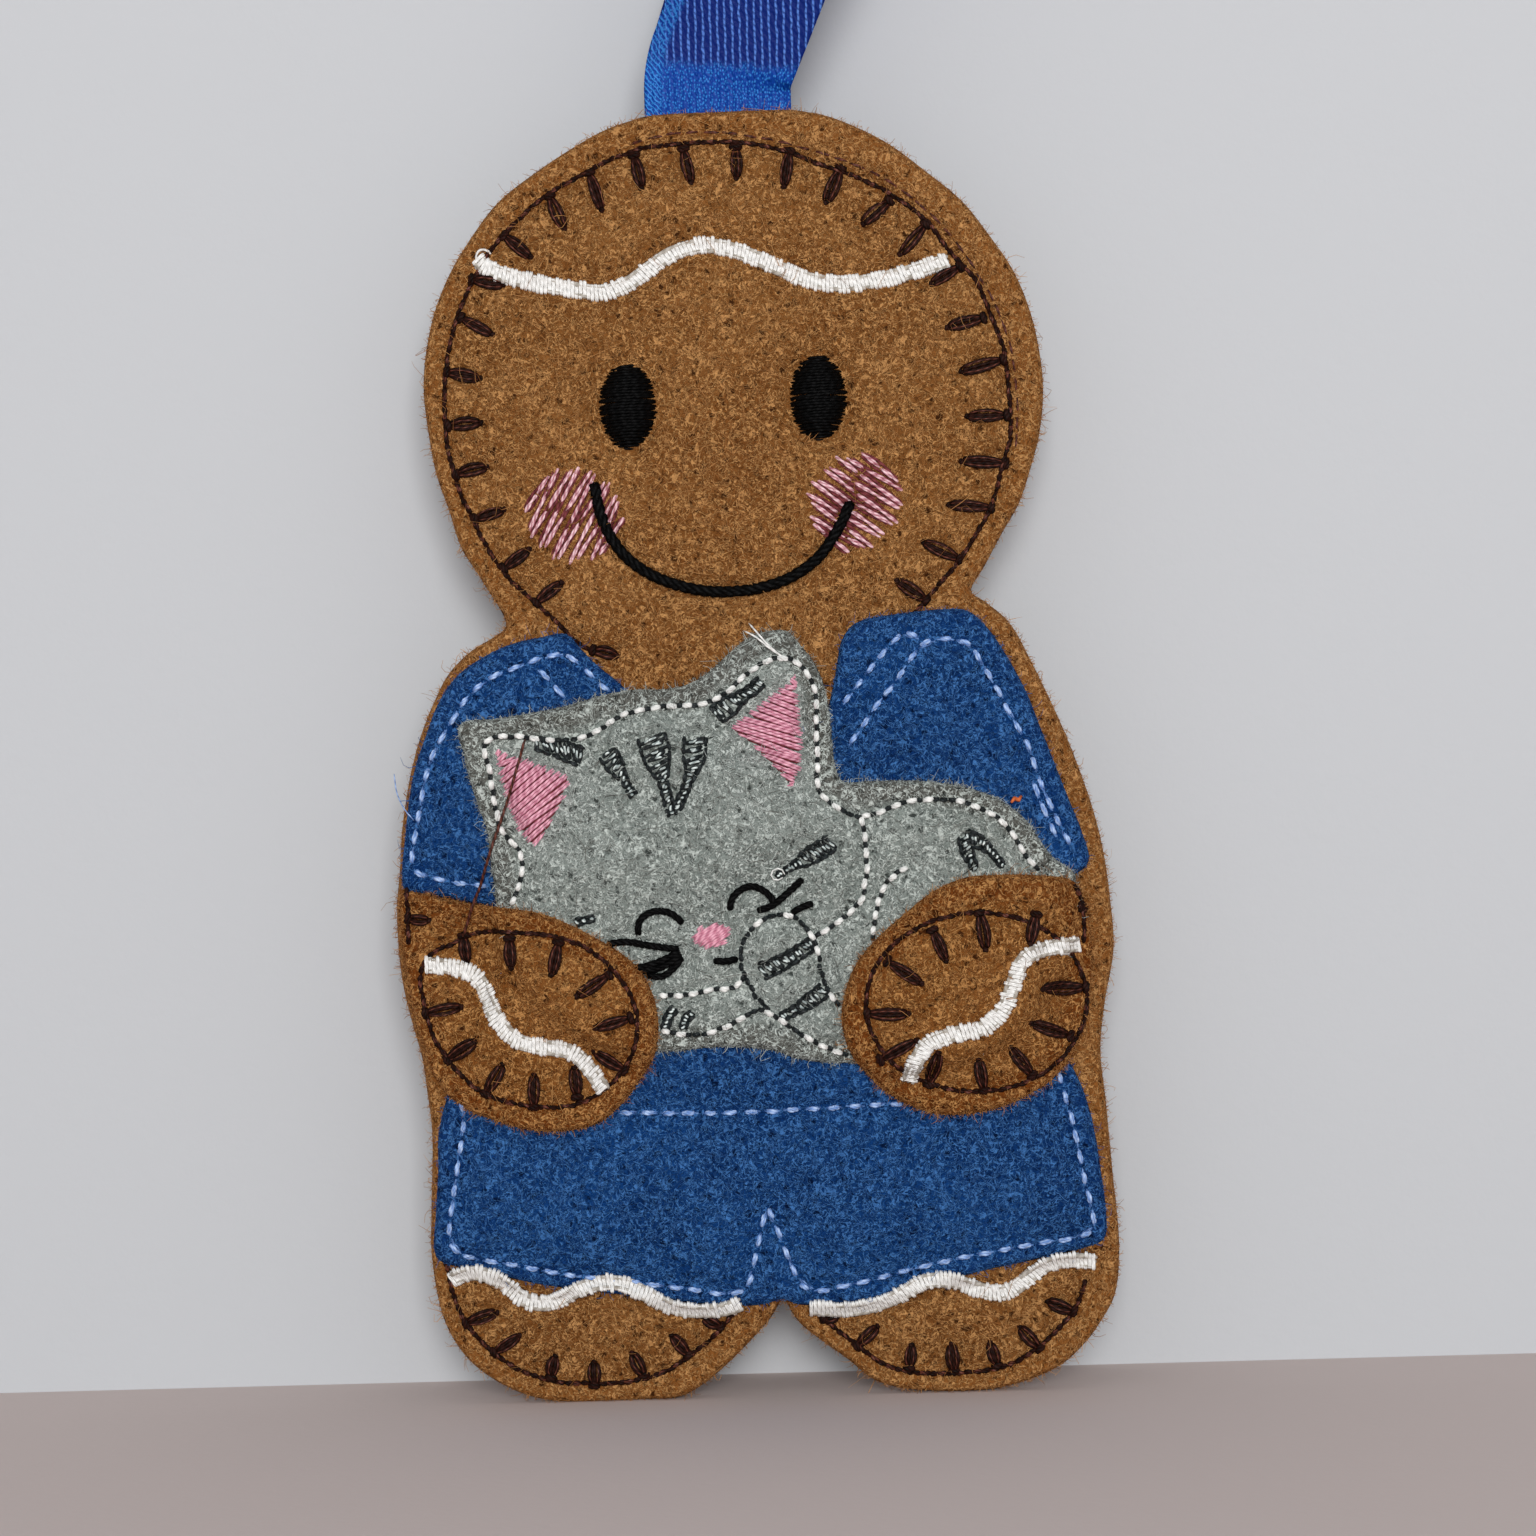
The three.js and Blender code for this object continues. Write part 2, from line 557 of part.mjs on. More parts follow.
// Everything sewn on the brown front stops short of the clothes' edge, which lies in the same layer.
function addHeadAndFeet() {
  const clothes = clearing(outline(clothesShares, body));
  const border = new THREE.EllipseCurve(
    head.x + headBorderShift,
    head.z - headBorderDrop,
    headBorderWidth / 2,
    headBorderHeight / 2,
  );
  const headStitch = {
    tickLength: headTickLength,
    tickPitch: headTickPitch,
    base: brownFront,
    closed: true,
  };
  const around = blanketStitch(border, { ...headStitch, margin: clearance });
  const footStitch = { tickLength: footTickLength, tickPitch: footTickPitch, base: brownFront };
  const trimmed = (solid, ...others) => (
    largest(others.reduce((rest, other) => rest.subtract(other), solid))
  );

  addPiece(doll, 'head_blanket_stitch', trimmed(blanketStitch(border, headStitch), clothes), brownThread);
  const forehead = icing(foreheadIcingShares, head, brownFront);
  addPiece(doll, 'forehead_icing', trimmed(forehead, around), whiteThread);
  [
    ['left_foot', leftFootBorderShares, leftFootIcingShares],
    ['right_foot', rightFootBorderShares, rightFootIcingShares],
  ].forEach(([name, borderShares, icingShares]) => {
    const curve = new THREE.SplineCurve(borderShares.map((share) => at(body, share)));
    const foot = blanketStitch(curve, footStitch);
    const margin = blanketStitch(curve, { ...footStitch, margin: clearance });
    addPiece(doll, `${name}_blanket_stitch`, trimmed(foot, clothes), brownThread);
    const band = trimmed(icing(icingShares, body, brownFront), clothes, margin);
    addPiece(doll, `${name}_icing`, band, whiteThread);
  });
  Object.entries(eyeShares).forEach(([name, share]) => {
    const size = { width: eyeWidth, height: eyeHeight, crown: eyeCrown };
    const eye = satinOval(share, head, { ...size, base: brownFront });
    addPiece(doll, name, eye, blackThread);
  });
  Object.entries(cheekShares).forEach(([name, share]) => {
    const size = { width: cheekWidth, height: cheekHeight, pitch: cheekPitch, base: brownFront };
    const cheek = hatchedOval(share, head, { ...size, angle: cheekStrokeAngles[name] });
    addPiece(doll, name, trimmed(cheek, around), pinkThread);
  });
  // The smile is sewn over the cheeks, so it lies as high as they do.
  const smileSize = { width: smileWidth, height: smileHeight, base: brownFront - cheekStitchHeight };
  addPiece(doll, 'smile', ridge(path(smileShares, head), smileSize), blackThread);
}

// Everything sewn on the clothes stops short of the cat, which lies in the same layer.
function addClothesStitching() {
  const over = clearing(outline(catShares, cat));
  const lines = {
    shorts_stitch: [shortsShares, body],
    left_sleeve_stitch: [leftSleeveShares, body],
    right_sleeve_stitch: [rightSleeveShares, body],
    left_strap_stitch: [leftStrapShares, body],
    right_strap_stitch: [rightStrapShares, body],
    waist_stitch: [waistShares, waist],
  };
  Object.entries(lines).forEach(([name, [shares, frame]]) => {
    addPiece(doll, name, largest(run(shares, frame, clothesFront).subtract(over)), paleBlueThread);
  });
}

// Everything sewn on the cat stops short of the hands, which lie in the same layer.
function addCatStitching() {
  const left = clearing(outline(leftHandShares, leftHand));
  const hands = left.add(clearing(outline(rightHandShares, rightHand)));
  const add = (name, solid, material) => addPiece(doll, name, largest(solid.subtract(hands)), material);

  const lines = [catHeadShares, catBackShares, catPawShares].map((shares) => run(shares, cat, catFront));
  add('cat_outline_stitch', lines.reduce((whole, line) => whole.add(line)), whiteThread);
  add('cat_leg_stitch', run(catLegShares, cat, catFront), whiteThread);
  add('cat_left_ear', sheet(outline(leftEarShares, cat), earFillThickness, catFront), pinkThread);
  add('cat_right_ear', sheet(outline(rightEarShares, cat), earFillThickness, catFront), pinkThread);
  const nose = { width: noseWidth, height: noseHeight, crown: noseCrown, base: catFront };
  add('cat_nose', satinOval(noseShare, cat, nose), pinkThread);
  const lid = { width: lidWidth, height: lidHeight, base: catFront };
  add('cat_left_eyelid', ridge(path(leftLidShares, cat), lid), blackThread);
  add('cat_right_eyelid', ridge(path(rightLidShares, cat), lid), blackThread);
  add('cat_mouth', ridge(path(catMouthShares, cat), lid), blackThread);
  Object.entries(catStripeShares).forEach(([name, shares]) => {
    add(name, bar(shares, cat, { width: stripeWidth, height: stripeHeight, base: catFront }), blackThread);
  });
}

function addHandStitching() {
  const stitch = { tickLength: handTickLength, tickPitch: handTickPitch, base: handFront, closed: true };
  [
    {
      name: 'left_hand',
      frame: leftHand,
      share: leftHandBorderShare,
      size: [leftHandBorderWidth, leftHandBorderHeight],
      turn: leftHandBorderTurn,
      icingShares: leftHandIcingShares,
    },
    {
      name: 'right_hand',
      frame: rightHand,
      share: rightHandBorderShare,
      size: [rightHandBorderWidth, rightHandBorderHeight],
      turn: 0,
      icingShares: rightHandIcingShares,
    },
  ].forEach(({ name, frame, share, size: [width, height], turn, icingShares }) => {
    const middle = at(frame, share);
    const start = 0;
    const border = new THREE.EllipseCurve(
      middle.x,
      middle.y,
      width / 2,
      height / 2,
      start,
      2 * Math.PI,
      false,
      turn,
    );
    const around = blanketStitch(border, { ...stitch, margin: clearance });
    addPiece(doll, `${name}_blanket_stitch`, blanketStitch(border, stitch), brownThread);
    const band = icing(icingShares, frame, handFront).subtract(around);
    addPiece(doll, `${name}_icing`, largest(band), whiteThread);
  });
}

function addRibbon() {
  addPiece(ornament, 'ribbon_loop', ribbonLoop(), blueSatin);
  addPiece(doll, 'ribbon_tail_front', ribbonTail(-1), blueSatin);
  addPiece(doll, 'ribbon_tail_back', ribbonTail(1), blueSatin);
}

addFelts();
addHeadAndFeet();
addClothesStitching();
addCatStitching();
addHandStitching();
addRibbon();

// The inside of the loop's top becomes the origin.
const hang = leaned(loopCenter(0.5), 0);
const inward = leaned({ ...loopCenter(0.5), rise: loopHeight - ribbonThickness / 2 }, 0);
ornament.position.set(-hang.x - (inward.x - hang.x), -hang.y, -inward.z);

export default ornament;
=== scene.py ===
"""A felt gingerbread ornament: sewn felts, embroidery and a satin ribbon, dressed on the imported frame.

Until a mesh is made, lengths are millimetres in the plane of the figure: x to the viewer's right, z up
from the soles, and rise towards the viewer from where the two brown felts meet.
"""
import logging
import math
from dataclasses import dataclass, field
from enum import Enum
from functools import cache
from typing import Callable, Optional, Sequence, Union

import bmesh
import bpy
import numpy as np
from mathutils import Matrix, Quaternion, Vector, geometry, kdtree


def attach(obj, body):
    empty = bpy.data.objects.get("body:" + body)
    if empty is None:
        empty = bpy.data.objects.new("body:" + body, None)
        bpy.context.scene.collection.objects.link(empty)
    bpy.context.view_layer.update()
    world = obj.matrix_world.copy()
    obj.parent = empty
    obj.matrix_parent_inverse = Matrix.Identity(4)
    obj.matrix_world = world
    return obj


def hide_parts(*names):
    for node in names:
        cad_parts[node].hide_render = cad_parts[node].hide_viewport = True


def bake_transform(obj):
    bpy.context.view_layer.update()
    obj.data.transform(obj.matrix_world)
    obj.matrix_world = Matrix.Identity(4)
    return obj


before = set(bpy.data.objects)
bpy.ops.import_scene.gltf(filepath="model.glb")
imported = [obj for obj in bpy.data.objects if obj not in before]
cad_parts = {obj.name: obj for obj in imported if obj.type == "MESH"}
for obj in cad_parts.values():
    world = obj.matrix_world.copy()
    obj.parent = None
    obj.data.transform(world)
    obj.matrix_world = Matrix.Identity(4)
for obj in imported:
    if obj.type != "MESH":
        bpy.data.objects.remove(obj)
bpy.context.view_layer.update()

LOG = logging.getLogger("ornament")
MM = 0.001
TURN = 2 * math.pi
# Where the figure's middle and its soles are in the row frame, in millimetres.
FIGURE_MIDDLE = -20.4487
SOLES = -194.4588
# How close together the points are from which distances are measured.
FINE_PITCH = 0.3
# From one stitch of the head's border to the next.
BORDER_PITCH = 1.9

Line = np.ndarray
Knots = Sequence[tuple[float, float]]
Colour = tuple[float, float, float, float]
Socket = bpy.types.NodeSocket
Value = Union[Socket, float]


def dye(red: int, green: int, blue: int) -> Colour:
    """The linear colour of a written one, 0 to 255 a channel.

    Args:
        red: its red.
        green: its green.
        blue: its blue.

    Returns:
        The colour as the shader takes it.
    """
    shares = (channel / 255 for channel in (red, green, blue))
    linear = [s / 12.92 if s <= 0.04045 else ((s + 0.055) / 1.055) ** 2.4 for s in shares]
    return (*linear, 1.0)


def ease(values: np.ndarray, low: float, high: float) -> np.ndarray:
    """A smooth step from 0 at low to 1 at high."""
    t = np.clip((values - low) / (high - low), 0, 1)
    return t * t * (3 - 2 * t)


def unit(vectors: np.ndarray) -> np.ndarray:
    """The vectors at length one."""
    return vectors / np.maximum(np.linalg.norm(vectors, axis=-1, keepdims=True), 1e-9)


def distances(line: Line) -> np.ndarray:
    """How far along a line each of its points is."""
    return np.concatenate([[0], np.cumsum(np.linalg.norm(np.diff(line, axis=0), axis=1))])


def spaced(line: Line, step: float) -> Line:
    """The same line with its points at an even distance.

    Args:
        line: points in order.
        step: the distance wanted between them.

    Returns:
        The evenly spaced points, both ends kept.
    """
    along = distances(line)
    count = max(1, round(along[-1] / step))
    places = np.linspace(0, along[-1], count + 1)
    return np.column_stack([np.interp(places, along, line[:, k]) for k in range(line.shape[1])])


def curve(knots: Knots, closed: bool = False, step: float = 0.5) -> Line:
    """A smooth line through a few knots.

    Args:
        knots: the points that it passes.
        closed: whether it returns to the first.
        step: the distance between the points that come back.

    Returns:
        Its evenly spaced points; a closed one doesn't repeat the first.
    """
    spots = np.array(knots, float)
    if closed:
        spots = np.vstack([spots[-1:], spots, spots[:2]])
    else:
        spots = np.vstack([2 * spots[:1] - spots[1:2], spots, 2 * spots[-1:] - spots[-2:-1]])
    fine = []
    for i in range(1, len(spots) - 2):
        a, b, c, d = spots[i - 1 : i + 3]
        t1 = np.linalg.norm(b - a) ** 0.5
        t2 = t1 + np.linalg.norm(c - b) ** 0.5
        t3 = t2 + np.linalg.norm(d - c) ** 0.5
        t = np.linspace(t1, t2, 12, endpoint=False)[:, None]
        ab = ((t1 - t) * a + t * b) / t1
        bc = ((t2 - t) * b + (t - t1) * c) / (t2 - t1)
        cd = ((t3 - t) * c + (t - t2) * d) / (t3 - t2)
        abc = ((t2 - t) * ab + t * bc) / t2
        bcd = ((t3 - t) * bc + (t - t1) * cd) / (t3 - t1)
        fine.append(((t2 - t) * abc + (t - t1) * bcd) / (t2 - t1))
    fine.append(spots[-2][None])
    even = spaced(np.vstack(fine), step)
    return even[:-1] if closed else even


def oval(middle: tuple[float, float], size: tuple[float, float], turn: float = 0.0) -> Line:
    """A closed oval.

    Args:
        middle: its middle.
        size: its width and height.
        turn: how far it is turned, in degrees.

    Returns:
        Its points, the first not repeated.
    """
    around = np.linspace(0, TURN, 90, endpoint=False)
    flat = np.column_stack([np.cos(around) * size[0] / 2, np.sin(around) * size[1] / 2])
    c, s = along_way(turn)
    return flat @ np.array([[c, s], [-s, c]]) + np.array(middle)


def looped(loop: Line) -> Line:
    """A closed loop with its first point repeated at its end."""
    return np.vstack([loop, loop[:1]])


def along_way(angle: float) -> Line:
    """The unit direction at an angle in degrees from x."""
    return np.array([math.cos(math.radians(angle)), math.sin(math.radians(angle))])


def sideways(line: Line) -> Line:
    """At each point of a line, the unit direction to its left."""
    ahead = unit(np.gradient(line, axis=0))
    return np.column_stack([-ahead[:, 1], ahead[:, 0]])


def within(spots: Line, loop: Line) -> np.ndarray:
    """Which spots lie inside a closed loop.

    Args:
        spots: the points asked about.
        loop: the outline, its first point not repeated.

    Returns:
        True for each spot inside.
    """
    x0, z0 = loop.T
    x1, z1 = np.roll(loop, -1, axis=0).T
    rise = np.where(z1 == z0, 1e-9, z1 - z0)
    inside = []
    for part in np.array_split(spots, max(1, len(spots) // 4000)):
        x, z = part[:, :1], part[:, 1:]
        crossed = ((z0 > z) != (z1 > z)) & (x < (x1 - x0) * (z - z0) / rise + x0)
        inside.append(crossed.sum(1) % 2 == 1)
    return np.concatenate(inside)


def ripple(spots: Line, seed: int, size: float) -> np.ndarray:
    """A slow, even unevenness between about -1 and 1.

    Args:
        spots: where it is wanted.
        seed: which of the patterns.
        size: how long its waves are.

    Returns:
        One value for each spot.
    """
    random = np.random.default_rng(seed)
    total = np.zeros(len(spots))
    for _ in range(7):
        angle, phase = random.uniform(0, TURN, 2)
        waves = TURN / (size * random.uniform(0.6, 1.6))
        total += np.sin(spots @ np.array([math.cos(angle), math.sin(angle)]) * waves + phase)
    return total / 3.5


class Nearest:
    """How far spots are from a set of lines."""

    def __init__(self, lines: Sequence[Line]) -> None:
        """Keeps close points of all the lines.

        Args:
            lines: the lines that distances are asked from.
        """
        dots = np.vstack([spaced(line, FINE_PITCH) for line in lines])
        self.tree = kdtree.KDTree(len(dots))
        for index, (x, z) in enumerate(dots):
            self.tree.insert((x, 0.0, z), index)
        self.tree.balance()

    def __call__(self, spots: Line) -> np.ndarray:
        """The distance from each spot to the nearest line."""
        return np.array([self.tree.find((x, 0.0, z))[2] for x, z in spots])


class Facing(Enum):
    """Which way a felt's outer face looks, as the sign of y for a rise."""

    FRONT = -1
    BACK = 1


def raised(flat: Line, rise: np.ndarray) -> np.ndarray:
    """Flat points with their rise put in, as x, rise and z."""
    return np.column_stack([flat[:, 0], rise, flat[:, 1]])


def in_row(spots: np.ndarray, facing: Facing = Facing.FRONT) -> np.ndarray:
    """Points given as x, rise and z, put in the row frame in metres."""
    x, rise, z = spots[..., 0], spots[..., 1], spots[..., 2]
    return np.stack([x + FIGURE_MIDDLE, facing.value * rise, z + SOLES], axis=-1) * MM


def mesh_of(name: str, places: np.ndarray, faces: Sequence[np.ndarray]) -> bpy.types.Object:
    """A smooth mesh object made from arrays.

    Args:
        name: its name.
        places: the vertices in the row frame, in metres.
        faces: arrays of faces, each array with one count of corners.

    Returns:
        The object, already in the scene.
    """
    mesh = bpy.data.meshes.new(name)
    mesh.vertices.add(len(places))
    mesh.vertices.foreach_set("co", places.astype(np.float32).ravel())
    corners = np.concatenate([part.ravel() for part in faces]).astype(np.int32)
    counts = np.concatenate([np.full(len(part), part.shape[1]) for part in faces])
    mesh.loops.add(len(corners))
    mesh.loops.foreach_set("vertex_index", corners)
    mesh.polygons.add(len(counts))
    mesh.polygons.foreach_set("loop_start", (np.cumsum(counts) - counts).astype(np.int32))
    mesh.update(calc_edges=True)
    mesh.validate()
    mesh.shade_smooth()
    made = bpy.data.objects.new(name, mesh)
    bpy.context.scene.collection.objects.link(made)
    return made


def face_out(made: bpy.types.Object) -> None:
    """Turns all of a closed mesh's faces outwards.

    Args:
        made: the object.
    """
    shape = bmesh.new()
    shape.from_mesh(made.data)
    bmesh.ops.recalc_face_normals(shape, faces=shape.faces)
    shape.to_mesh(made.data)
    shape.free()


def note(made: bpy.types.Object, name: str, values: np.ndarray) -> None:
    """Keeps a number or a vector for each vertex, for the finish to read.

    Args:
        made: the object.
        name: the attribute's name.
        values: one value or one row of three for each vertex.
    """
    kind, key = ("FLOAT", "value") if values.ndim == 1 else ("FLOAT_VECTOR", "vector")
    kept = made.data.attributes.new(name, kind, "POINT")
    kept.data.foreach_set(key, values.astype(np.float32).ravel())


class Graph:
    """Places and joins the nodes of one tree."""

    def __init__(self, tree: bpy.types.NodeTree) -> None:
        """Works on an empty tree."""
        self.tree = tree

    def add(self, kind: str, sockets: Optional[dict] = None, **settings: object) -> bpy.types.Node:
        """Adds a node.

        Args:
            kind: the node's type.
            sockets: for each input, a value to set or a socket to link from.
            **settings: properties of the node itself.

        Returns:
            The node.
        """
        node = self.tree.nodes.new(kind)
        for key, value in settings.items():
            setattr(node, key, value)
        for key, value in (sockets or {}).items():
            if isinstance(value, bpy.types.NodeSocket):
                self.tree.links.new(value, node.inputs[key])
            else:
                node.inputs[key].default_value = value
        return node

    def math(self, operation: str, first: Value, second: Value = 0.0) -> Socket:
        """The result of one arithmetic step."""
        return self.add("ShaderNodeMath", {0: first, 1: second}, operation=operation).outputs[0]

    def plus(self, first: Value, second: Value) -> Socket:
        """The sum of two values."""
        return self.math("ADD", first, second)

    def less(self, first: Value, second: Value) -> Socket:
        """The first value less the second."""
        return self.math("SUBTRACT", first, second)

    def times(self, first: Value, second: Value) -> Socket:
        """The product of two values."""
        return self.math("MULTIPLY", first, second)

    def most(self, first: Value, second: Value) -> Socket:
        """The larger of two values."""
        return self.math("MAXIMUM", first, second)

    def wave(self, value: Socket, rate: float) -> Socket:
        """The sine of a value times a rate."""
        return self.math("SINE", self.times(value, rate))

    def vector(self, operation: str, first: Socket, second: Union[Value, tuple]) -> Socket:
        """The result of one step on a vector, whose second part is a number only where it is scaled."""
        key = "Scale" if operation == "SCALE" else 1
        return self.add("ShaderNodeVectorMath", {0: first, key: second}, operation=operation).outputs[0]

    def noise(self, place: Socket, scale: float, detail: float = 2.0, **more: float) -> Sequence[Socket]:
        """The outputs of cloudy noise."""
        return self.add("ShaderNodeTexNoise", {"Vector": place, "Scale": scale, "Detail": detail, **more}).outputs

    def cells(self, place: Socket, scale: float, randomness: float = 1.0) -> Socket:
        """How far each place is from the middle of its cell."""
        sockets = {"Vector": place, "Scale": scale, "Randomness": randomness}
        return self.add("ShaderNodeTexVoronoi", sockets).outputs["Distance"]

    def step(self, value: Socket, low: float, high: float) -> Socket:
        """A smooth step from 0 at low to 1 at high, or the other way if low is the larger.

        Args:
            value: what is stepped.
            low: where it starts.
            high: where it is done.

        Returns:
            The step.
        """
        ends = {"Value": value, "From Min": min(low, high), "From Max": max(low, high)}
        if low > high:
            ends.update({"To Min": 1.0, "To Max": 0.0})
        return self.add("ShaderNodeMapRange", ends, interpolation_type="SMOOTHSTEP").outputs[0]

    def tint(self, share: Value, first: Union[Socket, Colour], second: Union[Socket, Colour]) -> Socket:
        """A colour between two."""
        return self.add("ShaderNodeMix", {0: share, 6: first, 7: second}, data_type="RGBA").outputs[2]

    def noted(self, name: str) -> Sequence[Socket]:
        """The outputs of what note() keeps for each vertex."""
        return self.add("ShaderNodeAttribute", attribute_name=name).outputs

    def shader(
        self, colour: Union[Socket, Colour], roughness: Value, gloss: float, bump: Sequence[Value] = ()
    ) -> Socket:
        """A shader.

        Args:
            colour: its colour.
            roughness: how matt it is.
            gloss: how strongly it reflects.
            bump: where it has one, its height, its strength and its depth in millimetres.

        Returns:
            The shader's output.
        """
        sockets = {"Base Color": colour, "Roughness": roughness, "Specular IOR Level": gloss}
        if bump:
            ends = {"Height": bump[0], "Strength": bump[1], "Distance": bump[2] * MM}
            sockets["Normal"] = self.add("ShaderNodeBump", ends).outputs[0]
        return self.add("ShaderNodeBsdfPrincipled", sockets).outputs[0]

    def surface(self, shader: Socket) -> None:
        """Makes a shader the material's surface."""
        self.add("ShaderNodeOutputMaterial", {"Surface": shader})


def blank(name: str) -> tuple[bpy.types.Material, Optional[Graph]]:
    """A material by its name, and its empty graph where it is new.

    Args:
        name: the material's name.

    Returns:
        The material, and its graph or nothing.
    """
    made = bpy.data.materials.get(name) or bpy.data.materials.new(name)
    if made.use_nodes:
        return made, None
    made.use_nodes = True
    made.node_tree.nodes.clear()
    return made, Graph(made.node_tree)


def effect(name: str, inputs: Sequence[tuple], outputs: Sequence[str]) -> tuple[Graph, Sequence, Callable]:
    """Starts a shared node group.

    Args:
        name: the group's name.
        inputs: for each input, its name, kind and value.
        outputs: the names of the values that it puts out.

    Returns:
        Its graph, its inputs' sockets by name, and a function that links its outputs.
    """
    tree = bpy.data.node_groups.new(name, "ShaderNodeTree")
    for label, kind, value in inputs:
        socket = tree.interface.new_socket(label, in_out="INPUT", socket_type=kind)
        if value is not None:
            socket.default_value = value
    for label in outputs:
        tree.interface.new_socket(label, in_out="OUTPUT", socket_type="NodeSocketFloat")
    graph = Graph(tree)
    given = graph.add("NodeGroupInput").outputs

    def close(results: dict[str, Socket]) -> bpy.types.NodeTree:
        """Links each named result to its output."""
        graph.add("NodeGroupOutput", results)
        return tree

    return graph, given, close


@cache
def felt_fibres() -> bpy.types.NodeTree:
    """Curled felt fibres, painted shade in the pits between them and where the grain is low, and slow changes of dye.

    Returns:
        The node group.
    """
    graph, given, close = effect(
        "Felt Fibres",
        [("Vector", "NodeSocketVector", None), ("Curl", "NodeSocketFloat", 1.3), ("Fineness", "NodeSocketFloat", 1.0)],
        ["Fibre", "Pit", "Cloud", "Height"],
    )
    place = graph.vector("SCALE", given["Vector"], 1 / MM)
    fine = graph.vector("SCALE", place, given["Fineness"])
    swirl = graph.vector("SUBTRACT", graph.noise(fine, 0.75)["Color"], (0.5, 0.5, 0.5))
    bent = graph.vector("ADD", fine, graph.vector("SCALE", swirl, given["Curl"]))
    grain = graph.noise(fine, 2.3, Roughness=0.6, Distortion=1.4)[0]
    fibre = graph.times(graph.step(grain, 0.52, 0.72), 0.25)
    for scale, width, shift in ((0.75, 0.036, 0.0), (1.05, 0.044, 31.0), (1.45, 0.052, 67.0), (1.9, 0.06, 13.0)):
        moved = graph.vector("ADD", bent, (shift, shift, shift))
        middle = graph.less(graph.noise(moved, scale, 1.0, Distortion=0.7)[0], 0.5)
        strand = graph.step(graph.math("ABSOLUTE", middle), width, width * 0.35)
        shown = graph.step(graph.noise(moved, 1.5)[0], 0.45, 0.55)
        fibre = graph.most(fibre, graph.times(strand, shown))
    # Painted shade: the pits darken in the holes between the fibres and where the grain is low, where the bump is
    # lowest too.
    hole = graph.times(graph.step(graph.cells(bent, 0.8), 0.3, 0.16), graph.step(grain, 0.62, 0.48))
    pit = graph.most(graph.times(graph.step(grain, 0.51, 0.33), 0.7), hole)
    pit = graph.times(pit, graph.less(1.0, graph.times(fibre, 0.7)))
    cloud = graph.step(graph.noise(place, 0.13)[0], 0.35, 0.68)
    height = graph.less(graph.plus(graph.times(fibre, 0.5), grain), graph.times(hole, 0.5))
    return close({"Fibre": fibre, "Pit": pit, "Cloud": cloud, "Height": height})


@cache
def thread_twist() -> bpy.types.NodeTree:
    """The plies of a twisted thread. Lay holds the way round, the way along in millimetres and a chance value.

    Returns:
        The node group.
    """
    graph, given, close = effect(
        "Thread Twist", [("Lay", "NodeSocketVector", None), ("Pitch", "NodeSocketFloat", 0.9)], ["Ply", "Chance"]
    )
    way_round, way_along, chance = graph.add("ShaderNodeSeparateXYZ", {0: given["Lay"]}).outputs
    turns = graph.plus(graph.times(way_round, 2.0), graph.math("DIVIDE", way_along, given["Pitch"]))
    return close({"Ply": graph.step(graph.wave(turns, TURN), -0.9, 0.8), "Chance": chance})


@cache
def ribbon_weave() -> bpy.types.NodeTree:
    """The ribbon's weave. Place holds the way across, the way from the seam and the way across its ribs.

    Returns:
        The node group.
    """
    graph, given, close = effect(
        "Ribbon Weave",
        [("Place", "NodeSocketVector", None), ("Ribs", "NodeSocketFloat", 0.75), ("Band", "NodeSocketFloat", 3.2)],
        ["Line", "Band", "Edge", "Speck", "Height"],
    )
    across, rise, over_ribs = graph.add("ShaderNodeSeparateXYZ", {0: given["Place"]}).outputs
    wobble = graph.times(graph.less(graph.noise(given["Place"], 0.9)[0], 0.5), 0.5)
    ribs = graph.wave(graph.plus(graph.math("DIVIDE", over_ribs, given["Ribs"]), wobble), TURN)
    twill = graph.wave(graph.plus(graph.plus(rise, across), graph.times(wobble, 1.6)), 11.0)
    dash = graph.math("SINE", graph.plus(graph.times(rise, 14.0), graph.times(across, 6.0)))
    line = graph.times(graph.step(ribs, 0.25, 0.95), graph.step(dash, -2.2, 0.6))
    edge = graph.step(across, -5.4, -6.1)
    ragged = graph.plus(rise, graph.times(wobble, 3.0))
    band = graph.step(graph.less(ragged, given["Band"]), 0.8, -0.5)
    speck = graph.step(graph.cells(given["Place"], 3.2, 0.8), 0.55, 0.12)
    speck = graph.most(speck, graph.times(edge, graph.step(twill, 0.1, 0.8)))
    height = graph.plus(graph.times(line, 1.2), graph.times(graph.plus(speck, twill), 0.25))
    return close({"Line": line, "Band": band, "Edge": edge, "Speck": speck, "Height": height})


